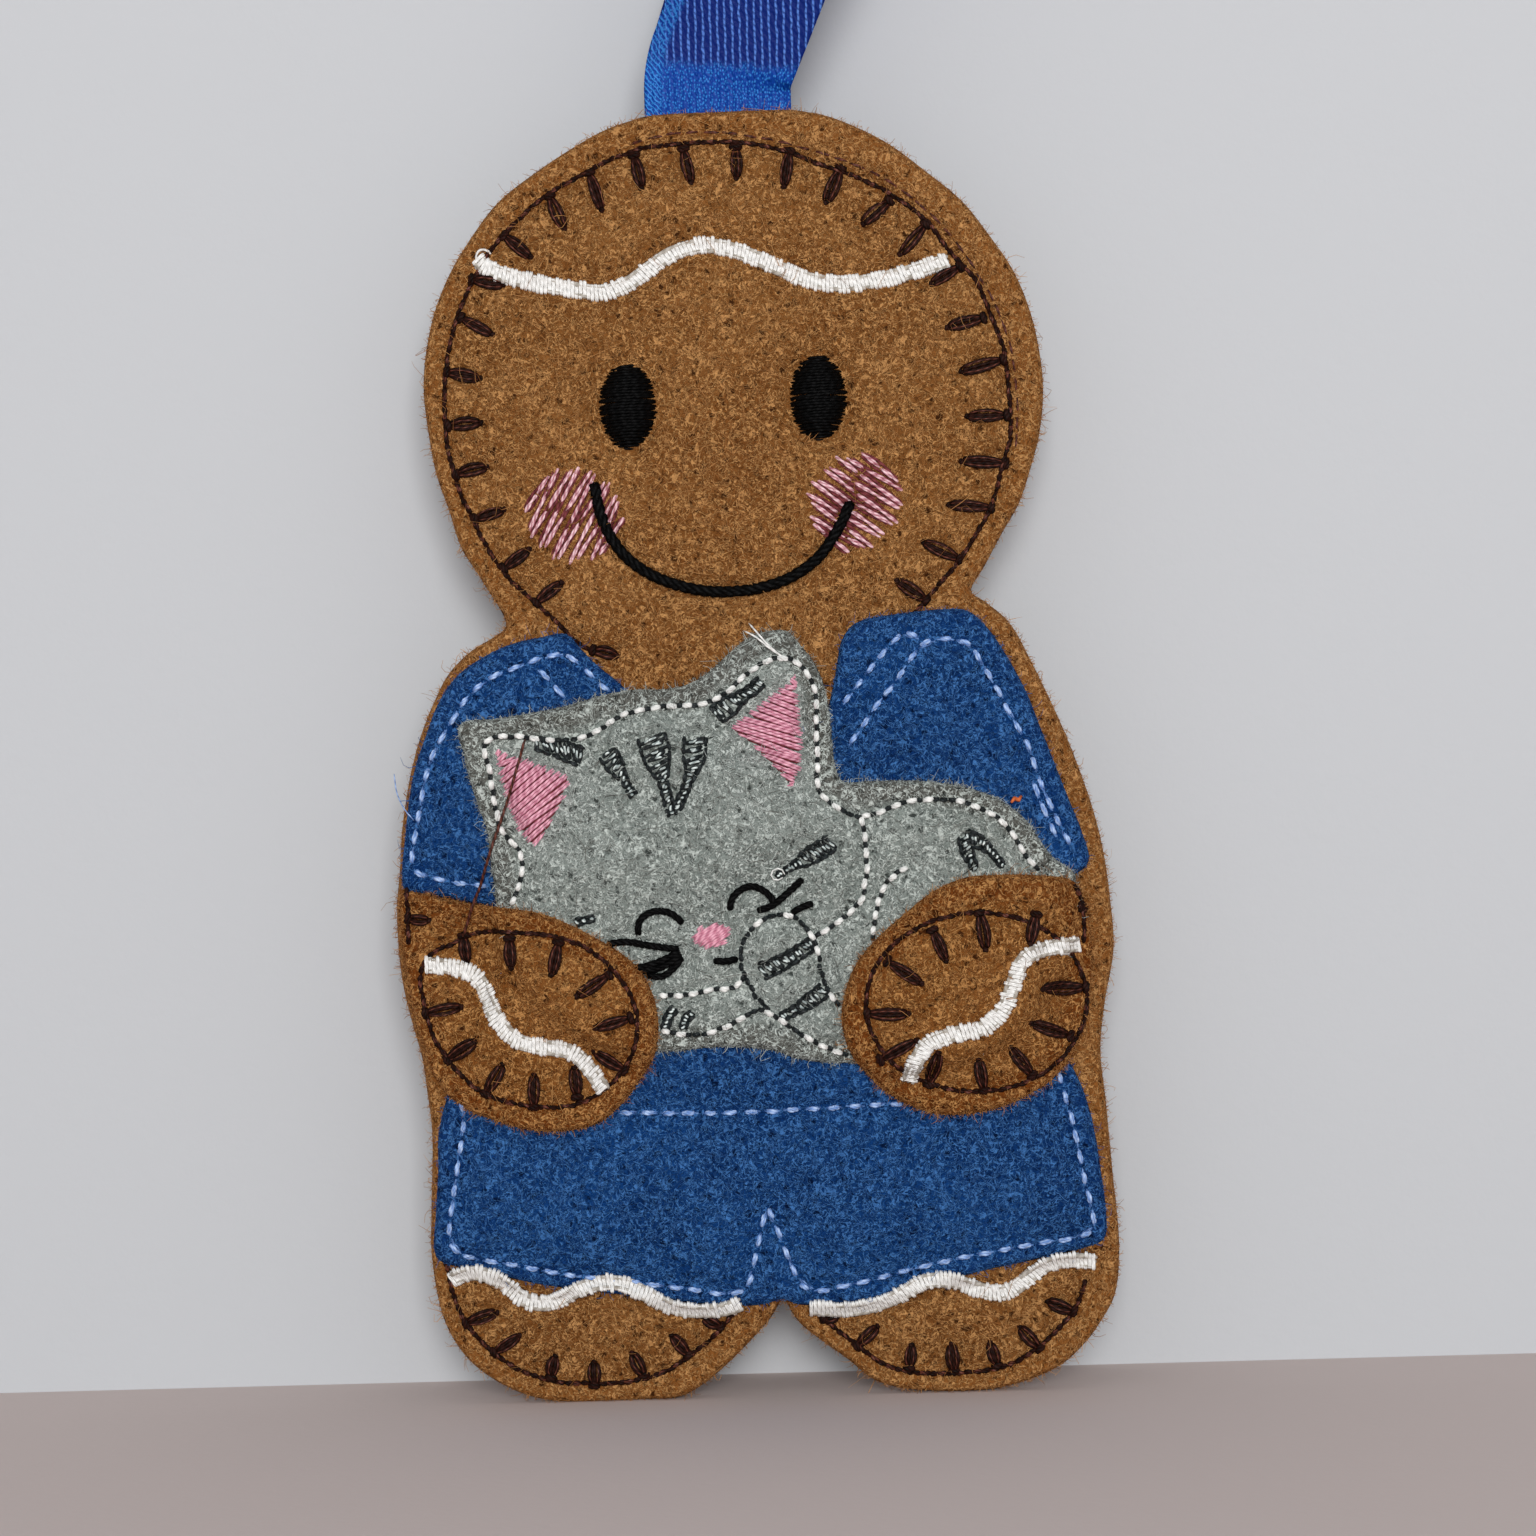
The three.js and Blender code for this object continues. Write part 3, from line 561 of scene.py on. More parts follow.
@dataclass(frozen=True)
class FeltFinish:
    """Matt felt: its face, the light fibres, painted shade in its pits, and the fuzzy margin at the cut edge, its own
    tone with painted shade.
    """

    name: str
    slot: str
    face: Colour
    deep: Colour
    light: Colour
    pit: Colour
    margin: Colour
    strength: float = 0.9

    def material(self) -> bpy.types.Material:
        """The felt's surface.

        Returns:
            The material.
        """
        made, graph = blank(self.name)
        if graph is None:
            return made
        place = graph.add("ShaderNodeTexCoord").outputs["Object"]
        fibres = graph.add("ShaderNodeGroup", {"Vector": place}, node_tree=felt_fibres()).outputs
        colour = graph.tint(fibres["Cloud"], self.face, self.deep)
        # The margin colour adds painted shade at the cut edge to the margin's own tone; the pits' colour paints the
        # shade in the felt's pits.
        layers = ((graph.noted("edge")["Fac"], self.margin), (fibres["Fibre"], self.light), (fibres["Pit"], self.pit))
        for share, tone in layers:
            colour = graph.tint(graph.times(share, self.strength), colour, tone)
        graph.surface(graph.shader(colour, roughness=0.95, gloss=0.06, bump=(fibres["Height"], 0.8, 0.6)))
        return made

    def loose(self) -> bpy.types.Material:
        """The single fibres that stand off this felt.

        Returns:
            The material.
        """
        made, graph = blank(f"{self.name} fibre")
        if graph is not None:
            colour = graph.tint(graph.noted("chance")["Fac"], self.margin, self.light)
            graph.surface(graph.shader(colour, roughness=0.8, gloss=0.2))
        return made


@dataclass(frozen=True)
class ThreadFinish:
    """Shiny embroidery thread: the colour on top of its plies, and the darker dip colour that paints the shade between
    them.
    """

    name: str
    slot: str
    top: Colour
    dip: Colour
    roughness: float = 0.42
    gloss: float = 0.5

    def material(self) -> bpy.types.Material:
        """The thread's surface.

        Returns:
            The material.
        """
        made, graph = blank(self.name)
        if graph is None:
            return made
        lay = graph.noted("lay")["Vector"]
        twist = graph.add("ShaderNodeGroup", {"Lay": lay}, node_tree=thread_twist()).outputs
        # The twist mixes the top colour with the dip colour, which paints the shade in the dips between the plies.
        share = graph.plus(graph.times(twist["Ply"], 0.65), graph.times(twist["Chance"], 0.35))
        colour = graph.tint(share, self.dip, self.top)
        graph.surface(graph.shader(colour, self.roughness, self.gloss, bump=(twist["Ply"], 0.6, 0.08)))
        return made


@dataclass(frozen=True)
class RibbonFinish:
    """Woven satin ribbon: light ribs on a dark ground, and a bright band above the seam that is partly painted sheen.
    """

    name: str = "blue ribbon"
    ground: Colour = dye(2, 32, 112)
    rib: Colour = dye(92, 138, 226)
    band: Colour = dye(3, 62, 158)
    speck: Colour = dye(58, 150, 236)
    edge: Colour = dye(6, 60, 156)

    def material(self) -> bpy.types.Material:
        """The ribbon's surface.

        Returns:
            The material.
        """
        made, graph = blank(self.name)
        place = graph.noted("weave")["Vector"]
        weave = graph.add("ShaderNodeGroup", {"Place": place}, node_tree=ribbon_weave()).outputs
        ribbed = graph.tint(graph.times(weave["Line"], 0.9), self.ground, self.rib)
        edge = graph.tint(weave["Speck"], self.edge, self.speck)
        ribbed = graph.tint(graph.times(weave["Edge"], 0.6), ribbed, edge)
        # The band's brighter colour and specks are partly its finer weave and partly painted sheen where the satin
        # faces the light.
        satin = graph.tint(graph.times(weave["Speck"], 0.8), self.band, self.speck)
        colour = graph.tint(weave["Band"], ribbed, satin)
        matt = graph.add("ShaderNodeMapRange", {"Value": weave["Band"], "To Min": 0.55, "To Max": 0.42}).outputs[0]
        graph.surface(graph.shader(colour, matt, gloss=0.14, bump=(weave["Height"], 0.7, 0.12)))
        return made


def felt_dyes(*dyes: tuple[int, int, int]) -> tuple[Colour, ...]:
    """A felt's face, deep, light, pits' and margin colours; the pits' colour is painted shade, the margin's is its own
    tone with painted shade.
    """
    return tuple(dye(*written) for written in dyes)


# Each felt's fourth colour paints the shade in its pits; its fifth is the margin's own tone with painted shade where
# the cut edge curves down.
BROWN = FeltFinish(
    "brown felt", "brown_felt", *felt_dyes((142, 92, 46), (126, 78, 36), (208, 154, 96), (46, 20, 6), (148, 93, 44))
)
HAND_BROWN = FeltFinish(
    "brown hand felt",
    "brown_felt",
    *felt_dyes((142, 89, 42), (128, 77, 33), (206, 150, 90), (44, 17, 5), (119, 63, 21)),
)
BLUE = FeltFinish(
    "blue felt", "blue_felt", *felt_dyes((17, 64, 126), (12, 52, 108), (72, 126, 192), (2, 14, 46), (15, 54, 112))
)
GREY = FeltFinish(
    "grey felt", "grey_felt", *felt_dyes((151, 160, 155), (137, 146, 141), (218, 227, 221), (44, 50, 47), (94, 92, 86))
)
# The second colour of each thread finish paints the shade in the dips between its plies.
BROWN_THREAD = ThreadFinish("brown thread", "brown_thread", dye(110, 58, 44), dye(36, 12, 6), 0.45, 0.25)
# The shaded thread finishes are darker copies that paint the shade on threads that lie low, underneath or in gaps.
SHADED_BROWN_THREAD = ThreadFinish("shaded brown thread", "brown_thread", dye(44, 16, 8), dye(16, 5, 2), 0.6, 0.12)
BROWN_PAIR = (BROWN_THREAD, SHADED_BROWN_THREAD)
WHITE_THREAD = ThreadFinish("white thread", "white_thread", dye(255, 255, 253), dye(234, 232, 228))
SHADED_WHITE_THREAD = ThreadFinish(
    "shaded white thread", "white_thread", dye(196, 190, 181), dye(156, 149, 138), 0.6, 0.1
)
WHITE_PAIR = (WHITE_THREAD, SHADED_WHITE_THREAD)
BLACK_THREAD = ThreadFinish("black thread", "black_thread", dye(7, 7, 8), dye(2, 2, 2), 0.5, 0.07)
PINK_THREAD = ThreadFinish("pink thread", "pink_thread", dye(250, 188, 206), dye(198, 116, 142))
CHEEK_THREAD = ThreadFinish("light pink thread", "pink_thread", dye(255, 216, 222), dye(176, 96, 112))
SHADED_PINK_THREAD = ThreadFinish("shaded pink thread", "pink_thread", dye(128, 62, 66), dye(86, 36, 38), 0.6, 0.1)
PALE_BLUE_THREAD = ThreadFinish("pale blue thread", "pale_blue_thread", dye(184, 210, 250), dye(108, 150, 218))
SHADED_BLUE_THREAD = ThreadFinish("shaded blue thread", "pale_blue_thread", dye(112, 156, 216), dye(40, 76, 140))
DARK_GREY_THREAD = ThreadFinish("dark grey thread", "black_thread", dye(34, 42, 44), dye(5, 8, 10), 0.45, 0.3)
# The highlight thread is a lighter grey that paints the highlight along the cat's stripes.
CROWN_HIGHLIGHT_THREAD = ThreadFinish("stripe highlight thread", "black_thread", dye(240, 250, 247), dye(140, 156, 156))
SOFT_WHITE_THREAD = ThreadFinish("soft white thread", "white_thread", dye(255, 255, 252), dye(226, 228, 225))
LINT_THREAD = ThreadFinish("orange lint", "brown_felt", dye(222, 112, 52), dye(176, 80, 36), 0.7)


# How far a seam's dent and the puff beyond it reach, and how uneven a felt's face is, in millimetres.
DENT_REACH = 0.9
PUFF_REACH = 4.5
UNEVENNESS = 0.07
# How far in a cut edge is rounded off, and how much of the felt's thickness is left at the cut.
EDGE_REACH = 0.8
EDGE_SHARE = 0.42
# How far a cut edge bulges, and how deep inside it the mesh has its extra rings.
EDGE_BULGE = 0.12
EDGE_RINGS = (0.22, 0.55)
# How far apart the other points of a felt's mesh are, and how far they stay from its edge.
MESH_GAP = 0.8
MESH_INSET = 0.85
# The gap between a felt and what it lies on, and how far its back lifts at the cut.
LAY_GAP = -0.02
EDGE_LIFT = 0.1
# What lies on a felt drapes down from just inside its cut edge to this far beyond it.
DRAPE = (-1.7, 0.3)
# The pocket between the brown felts for the ribbon's ends: its rise, half width, slope and rounded foot.
POCKET_RISE = 0.53
POCKET_REACH = 9.2
POCKET_SLOPE = 1.4
POCKET_FOOT = (118.5, 122.5)


@dataclass(frozen=True)
class Cut:
    """How thick a felt is, how far it puffs up between its seams and how wide its fuzzy margin is, whose colour carries
    painted shade.
    """

    thickness: float
    puff: float
    margin: float


@dataclass
class Felt:
    """One cut felt, laid on what is behind it, dented where it is sewn and puffed up between the seams."""

    name: str
    node: str
    finish: FeltFinish
    knots: Knots
    cut: Cut
    seams: Sequence[Line] = ()
    under: Optional["Felt"] = None
    facing: Facing = Facing.FRONT
    seed: int = 1
    loop: Line = field(init=False)
    rim: Nearest = field(init=False)
    sewn: Optional[Nearest] = field(init=False)

    def __post_init__(self) -> None:
        """Draws the outline and keeps where it is sewn."""
        self.loop = curve(self.knots, closed=True)
        self.rim = Nearest([looped(self.loop)])
        self.sewn = Nearest(self.seams) if len(self.seams) else None

    def depth(self, spots: Line) -> np.ndarray:
        """How far inside the outline each spot is, less than zero outside."""
        return self.rim(spots) * np.where(within(spots, self.loop), 1, -1)

    def swell(self, spots: Line) -> np.ndarray:
        """How thick the felt is away from its cut edge.

        Args:
            spots: where it is asked.

        Returns:
            The thickness, least at a seam.
        """
        if self.sewn is None:
            return np.full(len(spots), self.cut.thickness)
        away = self.sewn(spots)
        near = 1 - np.exp(-((away / DENT_REACH) ** 2))
        far = 1 - np.exp(-((away / PUFF_REACH) ** 2))
        uneven = UNEVENNESS * near * ripple(spots, self.seed, 6.0)
        return self.cut.thickness * (0.5 + 0.5 * near) + self.cut.puff * far + uneven

    def base(self, spots: Line) -> np.ndarray:
        """The rise of what the felt lies on; the two brown felts part round the ribbon's ends.

        Args:
            spots: where it is asked.

        Returns:
            The rise at each spot.
        """
        if self.under is not None:
            return self.under.cover(spots)
        inside = POCKET_REACH - np.abs(spots[:, 0] - Ribbon.shift)
        return POCKET_RISE * ease(inside, 0, POCKET_SLOPE) * ease(spots[:, 1], *POCKET_FOOT)

    def cover(self, spots: Line) -> np.ndarray:
        """The rise of whatever lies on this felt, which drapes down past its cut edge."""
        return self.base(spots) + self.swell(spots) * ease(self.depth(spots), *DRAPE)

    def front(self, spots: Line) -> np.ndarray:
        """The rise of the felt's own face, rounded off at the cut edge."""
        return self._faces(spots, self.depth(spots))[0]

    def _faces(self, spots: Line, depth: np.ndarray) -> tuple[np.ndarray, np.ndarray]:
        """The rise of the felt's two faces.

        Args:
            spots: where it is asked.
            depth: how far inside the outline each spot is.

        Returns:
            The rise of the face and of the back.
        """
        base = self.base(spots)
        outside = 1 - np.clip(depth / EDGE_REACH, 0, 1)
        share = EDGE_SHARE + (1 - EDGE_SHARE) * np.sqrt(1 - outside**2)
        return base + self.swell(spots) * share, base + LAY_GAP + EDGE_LIFT * outside

    def spots(self, gap: float, inset: float, random: np.random.Generator) -> Line:
        """Spots spread over the felt.

        Args:
            gap: about how far apart they are.
            inset: how far they stay from the edge.
            random: where chance comes from.

        Returns:
            The spots.
        """
        low, high = self.loop.min(0), self.loop.max(0)
        columns = np.arange(low[0], high[0], gap)
        rows = np.arange(low[1], high[1], gap * 0.866)
        x, z = np.meshgrid(columns, rows)
        x = x + (np.arange(len(rows)) % 2)[:, None] * gap / 2
        grid = np.column_stack([x.ravel(), z.ravel()]) + random.uniform(-0.12, 0.12, (x.size, 2)) * gap
        return grid[self.depth(grid) > inset]

    def _area(self) -> float:
        """The area of the outline, less than zero if it runs clockwise."""
        after = np.roll(self.loop, -1, axis=0)
        return np.sum(self.loop[:, 0] * after[:, 1] - after[:, 0] * self.loop[:, 1]) / 2

    def build(self) -> bpy.types.Object:
        """Makes the felt.

        Returns:
            The closed sheet, riding on the figure.
        """
        random = np.random.default_rng(self.seed)
        closed = np.vstack([self.loop[-1:], looped(self.loop)])
        inward = sideways(closed)[1:-1] * np.sign(self._area())
        rings = []
        for inset in EDGE_RINGS:
            inner = self.loop + inward * inset
            rings.append(inner[self.depth(inner) > inset * 0.8])
        flat = np.vstack([self.loop, *rings, self.spots(MESH_GAP, MESH_INSET, random)])
        count = len(self.loop)
        ends = [(i, (i + 1) % count) for i in range(count)]
        found = geometry.delaunay_2d_cdt([Vector(spot) for spot in flat.tolist()], ends, [], 1, 1e-6)
        places = np.array([tuple(spot) for spot in found[0]])
        triangles = np.array(found[2])
        source = {old: new for new, olds in enumerate(found[3]) for old in olds}
        border = np.array([source[i] for i in range(count)])
        depth = np.maximum(self.depth(places), 0)
        depth[border] = 0
        front, back = self._faces(places, depth)
        middle = self.loop - inward * EDGE_BULGE
        half_way = front[border] * 0.55 + back[border] * 0.45
        solid = np.vstack([raised(places, front), raised(places, back), raised(middle, half_way)])
        total = len(places)
        here = np.arange(count) + 2 * total
        after, next_border = np.roll(here, -1), np.roll(border, -1)
        upper = np.column_stack([border, next_border, after, here])
        lower = np.column_stack([here, after, total + next_border, total + border])
        faces = [triangles, triangles[:, ::-1] + total, np.vstack([upper, lower])]
        made = mesh_of(self.name, in_row(solid, self.facing), faces)
        face_out(made)
        # Towards the cut edge the colour turns to the margin's, its own tone with painted shade where the felt curves
        # down.
        margin = self.cut.margin
        edge_tone_and_shade = 1 - ease(depth + 0.3 * ripple(places, self.seed + 5, 3.0), margin * 0.65, margin)
        note(made, "edge", np.concatenate([edge_tone_and_shade, edge_tone_and_shade, np.ones(count)]))
        made.data.materials.append(self.finish.material())
        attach(made, "doll")
        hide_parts(self.node)
        return made

    def declare(self, made: bpy.types.Object, with_pieces: Sequence[bpy.types.Object]) -> None:
        """Does nothing.

        Args:
            made: not used.
            with_pieces: not used.
        """


@dataclass
class Fuzz:
    """The loose fibres of one felt: short curls that stand off its cut edge and lie on its face.

    Their roots and tips stay clear of the seams.
    """

    felt: Felt
    edge_count: int
    face_gap: float
    hidden_by: Sequence[Felt] = ()
    thickness: float = 0.07
    points: int = 4
    bend: float = 0.75
    hook: float = 0.45
    root_gap: float = 0.35
    tip_gap: float = 0.8

    def _curls(
        self, roots: np.ndarray, ways: np.ndarray, lengths: np.ndarray, random: np.random.Generator
    ) -> np.ndarray:
        """Bends each fibre.

        Args:
            roots: where they start, as x, rise and z.
            ways: the unit direction in which each leaves.
            lengths: how long each is.
            random: where chance comes from.

        Returns:
            Points along every fibre.
        """
        share = np.linspace(0, 1, self.points)[None, :, None]
        bend = random.normal(0, self.bend, ways.shape)[:, None, :]
        hook = random.normal(0, self.hook, ways.shape)[:, None, :]
        reach = lengths[:, None, None]
        return roots[:, None, :] + reach * (ways[:, None, :] * share + bend * share**2 + hook * np.sin(share * math.pi))

    def _edge(self, random: np.random.Generator) -> np.ndarray:
        """Curls that stand off the cut edge.

        Args:
            random: where chance comes from.

        Returns:
            Points along each.
        """
        line = spaced(looped(self.felt.loop), 0.05)
        picks = random.integers(0, len(line), self.edge_count)
        outward = sideways(line)
        if within((line + outward * 0.3)[:200], self.felt.loop).mean() > 0.5:
            outward = -outward
        inset = random.uniform(0.0, 0.5, self.edge_count)
        flat = line[picks] - outward[picks] * inset[:, None]
        low, high = self.felt.base(flat), self.felt.front(flat)
        rise = low + (high - low) * random.uniform(0.1, 1.0, self.edge_count)
        ways = raised(outward[picks], random.uniform(-0.1, 0.7, self.edge_count))
        ways = unit(ways + random.normal(0, 0.55, ways.shape))
        lengths = random.gamma(3.0, 0.075, self.edge_count) + 0.1
        lengths = np.where(random.uniform(0, 1, self.edge_count) < 0.02, lengths * 2.0, lengths)
        return self._curls(raised(flat, rise), ways, lengths, random)

    def _face(self, random: np.random.Generator) -> np.ndarray:
        """Curls that lie on the face, where nothing covers it.

        Args:
            random: where chance comes from.

        Returns:
            Points along each.
        """
        flat = self.felt.spots(self.face_gap, 0.2, random)
        flat = flat + random.uniform(-0.4, 0.4, flat.shape) * self.face_gap
        for other in self.hidden_by:
            flat = flat[other.depth(flat) < 0.3]
        flat = flat[self.felt.depth(flat) > 0.1]
        if self.felt.sewn is not None:
            flat = flat[self.felt.sewn(flat) > self.root_gap]
        count = len(flat)
        turn = random.uniform(0, TURN, count)
        ways = np.column_stack([np.cos(turn), random.uniform(0.0, 0.3, count), np.sin(turn)])
        roots = raised(flat, self.felt.front(flat) - 0.02)
        curls = self._curls(roots, ways, random.gamma(4.0, 0.2, count) + 0.3, random)
        arch = np.sin(np.linspace(0, math.pi, self.points)) * random.uniform(0.03, 0.22, (count, 1))
        curls[:, :, 1] = roots[:, 1:2] + arch + 0.01
        return curls

    def build(self) -> bpy.types.Object:
        """Makes all the fibres as one mesh of fine three-sided hairs that ride on the figure.

        Returns:
            The piece.
        """
        random = np.random.default_rng(self.felt.seed + 40)
        face = self._face(random)
        face = face[self.felt.depth(face[:, -1, [0, 2]]) > -0.1]
        if self.felt.sewn is not None:
            face = face[self.felt.sewn(face[:, -1, [0, 2]]) > self.tip_gap]
        curls = np.vstack([self._edge(random), face])
        ahead = unit(np.gradient(curls, axis=1))
        side = unit(np.cross(ahead, unit(random.normal(0, 1, (len(curls), 1, 3)))))
        other = np.cross(side, ahead)
        taper = np.linspace(1.0, 0.45, self.points)[:, None, None]
        radius = self.thickness / 2 * random.uniform(0.7, 1.3, (len(curls), 1, 1, 1)) * taper
        turns = (np.arange(3) * TURN / 3)[:, None]
        around = np.cos(turns) * side[:, :, None, :] + np.sin(turns) * other[:, :, None, :]
        solid = (curls[:, :, None, :] + around * radius).reshape(-1, 3)
        first = (np.arange(len(curls)) * self.points * 3)[:, None, None]
        row = first + (np.arange(self.points - 1) * 3)[:, None]
        k, after = np.arange(3), (np.arange(3) + 1) % 3
        sides = np.stack([row + k, row + after, row + 3 + after, row + 3 + k], axis=-1)
        start = first[:, 0, :] + np.array([[0, 2, 1]])
        end = first[:, 0, :] + (self.points - 1) * 3 + np.array([[0, 1, 2]])
        faces = [sides.reshape(-1, 4), start, end]
        made = mesh_of(f"{self.felt.name}_fibres", in_row(solid, self.felt.facing), faces)
        note(made, "chance", np.repeat(random.uniform(0, 1, len(curls)), self.points * 3))
        made.data.materials.append(self.felt.finish.loose())
        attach(made, "doll")
        return made


class Skein:
    """Threads laid one after another on a felt, made into one mesh."""

    sides = 6
    # How deep the ends of stitches, satin threads, ropes and filling threads are sunk in the felt.
    stitch_sink = 0.22
    band_sink = 0.14
    rope_sink = 0.2
    fill_sink = 0.1
    # How far the threads of a satin band are from the middle of their pair, as a share of the pitch.
    band_pair = 0.19
    band_radius = 0.125
    # How far inside its outline a filling reaches its full height.
    fill_slope = 1.6
    # How thick a thread is at its two ends, as a share of the rest.
    end_share = 0.55

    def __init__(self, ground: Callable[[Line], np.ndarray], seed: int) -> None:
        """Starts with no thread.

        Args:
            ground: gives the rise of what is sewn on, spot by spot.
            seed: which chance unevenness it has.
        """
        self.ground = ground
        self.random = np.random.default_rng(seed)
        self.threads: list[tuple[np.ndarray, float, int]] = []

    def lay(self, flat: Line, height: np.ndarray, radius: float, shade: int = 0) -> None:
        """Lays one thread.

        Args:
            flat: the points that it passes.
            height: how high it is above the felt at each.
            radius: half its thickness.
            shade: which of the piece's finishes it has.
        """
        self.threads.append((raised(flat, height), radius, shade))

    def stitch(
        self,
        start: Sequence[float],
        end: Sequence[float],
        radius: float,
        strands: int = 2,
        spread: float = 0.14,
        turns: float = 0.8,
        arch: float = 0.2,
        shade: int = 0,
        points: int = 7,
    ) -> None:
        """Lays one stitch from hole to hole, its strands twisted round each other.

        Args:
            start: the first hole.
            end: the second hole.
            radius: half a strand's thickness.
            strands: how many run side by side.
            spread: how far each is from the stitch's middle.
            turns: how often they turn round each other.
            arch: how high its middle stands.
            shade: which of the piece's finishes it has.
            points: how finely it is drawn.
        """
        start, end = np.array(start, float), np.array(end, float)
        share = np.linspace(0, 1, points)
        across = unit(np.array([start[1] - end[1], end[0] - start[0]]))
        swell = np.sin(share * math.pi) ** 0.6
        phase = self.random.uniform(0, TURN)
        for strand in range(strands):
            angle = TURN * (turns * share + strand / strands) + phase
            off = spread * swell * np.cos(angle)
            flat = start + (end - start) * share[:, None] + across * off[:, None]
            height = (arch + spread * 0.8 * np.sin(angle)) * swell - self.stitch_sink * (1 - swell)
            self.lay(flat, height, radius, shade)

    @staticmethod
    def holes(line: Line, middle: float, reach: float) -> Line:
        """The two points of a line on both sides of a middle, all as shares of its length."""
        places = np.clip([middle - reach, middle + reach], 0, 1) * (len(line) - 1)
        return line[np.rint(places).astype(int)]

    def dashes(self, line: Line, pitch: float, share: float, **how: Union[float, int]) -> None:
        """Lays a line of stitches.

        Args:
            line: the line that they follow.
            pitch: from one stitch to the next.
            share: how much of the pitch a stitch covers.
            **how: what stitch() takes.
        """
        length = distances(line)[-1]
        count = max(1, round(length / pitch))
        fine = spaced(line, length / (count * 10))
        for index in range(count):
            middle = (index + 0.5) / count + self.random.normal(0, 0.03) / count
            reach = share / count / 2 * self.random.uniform(0.88, 1.1)
            ends = self.holes(fine, middle, reach) + self.random.normal(0, 0.04, (2, 2))
            self.stitch(ends[0], ends[1], **how)

    def band(self, line: Line, width: float, pitch: float = 0.4, crown: float = 0.6) -> None:
        """Lays a satin band whose threads cross it.

        Args:
            line: its middle.
            width: its width.
            pitch: from one thread to the next.
            crown: how high its middle stands.
        """
        fine = spaced(line, pitch)
        left = sideways(fine)
        share = np.linspace(0, 1, 9)
        round_off = np.sqrt(np.maximum(1 - (2 * share - 1) ** 2, 0))
        # Three low threads in the piece's shaded finish lie under the band and paint the shade in the gaps between its
        # threads.
        for way in (-0.5, 0.0, 0.5):
            self.lay(fine + left * way, np.full(len(fine), crown * 0.3), 0.28, 1)
        for index in range(len(fine) - 1):
            reach = width / 2 * self.random.uniform(0.82, 1.16, 2)
            step = fine[index + 1] - fine[index]
            here = fine[index] + left[index] * reach[0] - step * 0.1
            flat = here + (fine[index] + step * 0.5 - left[index + 1] * reach[1] - here) * share[:, None]
            rise = crown * round_off - self.band_sink + self.random.normal(0, 0.03)
            for side in (-self.band_pair, self.band_pair):
                self.lay(flat + step * side, rise, self.band_radius)

    def rope(self, line: Line, radius: float, spread: float, pitch: float, height: float, strands: int = 3) -> None:
        """Lays a rope of long strands that turn round each other and dip at both ends.

        Args:
            line: its middle.
            radius: half a strand's thickness.
            spread: how far each strand is from the middle.
            pitch: from one turn to the next.
            height: how high the middle stands.
            strands: how many there are.
        """
        fine = spaced(line, pitch / 8)
        left = sideways(fine)
        along = distances(fine)
        ends = np.minimum(along, along[-1] - along)
        swell = np.clip(ends / 0.35, 0, 1) ** 0.6
        uneven = self.random.normal(0, 0.35)
        for strand in range(strands):
            angle = TURN * (along / pitch + strand / strands) + uneven * np.sin(along / 1.7)
            flat = fine + left * (spread * (0.5 + 0.5 * swell) * np.cos(angle))[:, None]
            rise = (height + spread * 0.8 * np.sin(angle)) * swell - self.rope_sink * (1 - swell)
            self.lay(flat, rise, radius)
        self.lay(fine, height * 0.7 * swell - self.rope_sink / 2 * (1 - swell), radius)

    def fill(
        self,
        loop: Line,
        angle: float,
        pitch: float,
        crown: float,
        radius: float,
        longest: float = math.inf,
        pair: float = 0.0,
        low: int = 0,
    ) -> None:
        """Fills an outline with threads side by side.

        Args:
            loop: the outline.
            angle: the direction of the threads, in degrees.
            pitch: from one thread to the next.
            crown: how high the middle stands.
            radius: half a thread's thickness.
            longest: where a thread is longer than this it dips once into the felt.
            pair: half the distance between two strands laid at once; at nought there is only one.
            low: the finish of the darker sunken threads between, which paint the shade in the gaps, if there are any.
        """
        c, s = along_way(angle)
        turned = loop @ np.array([[c, -s], [s, c]])
        after = np.roll(turned, -1, axis=0)
        rim = Nearest([looped(loop)])
        for level in np.arange(turned[:, 1].min() + pitch / 3, turned[:, 1].max(), pitch):
            over = (turned[:, 1] > level) != (after[:, 1] > level)
            a, b = turned[over], after[over]
            crossings = np.sort(a[:, 0] + (level - a[:, 1]) / (b[:, 1] - a[:, 1]) * (b[:, 0] - a[:, 0]))
            for begin, stop in zip(crossings[::2], crossings[1::2]):
                begin, stop = begin - self.random.uniform(0, 0.25), stop + self.random.uniform(0, 0.25)
                count = max(5, round((stop - begin) / 0.45))
                x = np.linspace(begin, stop, count)
                tilt = self.random.normal(0, pitch * 0.2) * np.linspace(-1, 1, count)
                flat = np.column_stack([x, np.full(count, level) + tilt]) @ np.array([[c, s], [-s, c]])
                depth = rim(flat) * np.where(within(flat, loop), 1, -1)
                outside = 1 - np.clip(depth / self.fill_slope, 0, 1)
                height = crown * (1 - outside**2) - self.fill_sink + self.random.normal(0, 0.03)
                length = stop - begin
                if length > longest:
                    hole = self.random.uniform(begin + 0.25 * length, stop - 0.25 * length)
                    height = height - 0.14 * np.exp(-(((x - hole) / 0.3) ** 2))
                across = np.array([s, -c])
                self.lay(flat + across * pair, height, radius)
                if pair:
                    self.lay(flat - across * pair, height, radius)
                # The sunken threads between the strands paint the shade in the gaps.
                if low:
                    self.lay(flat + across * pitch / 2, height - 0.2, radius, low)

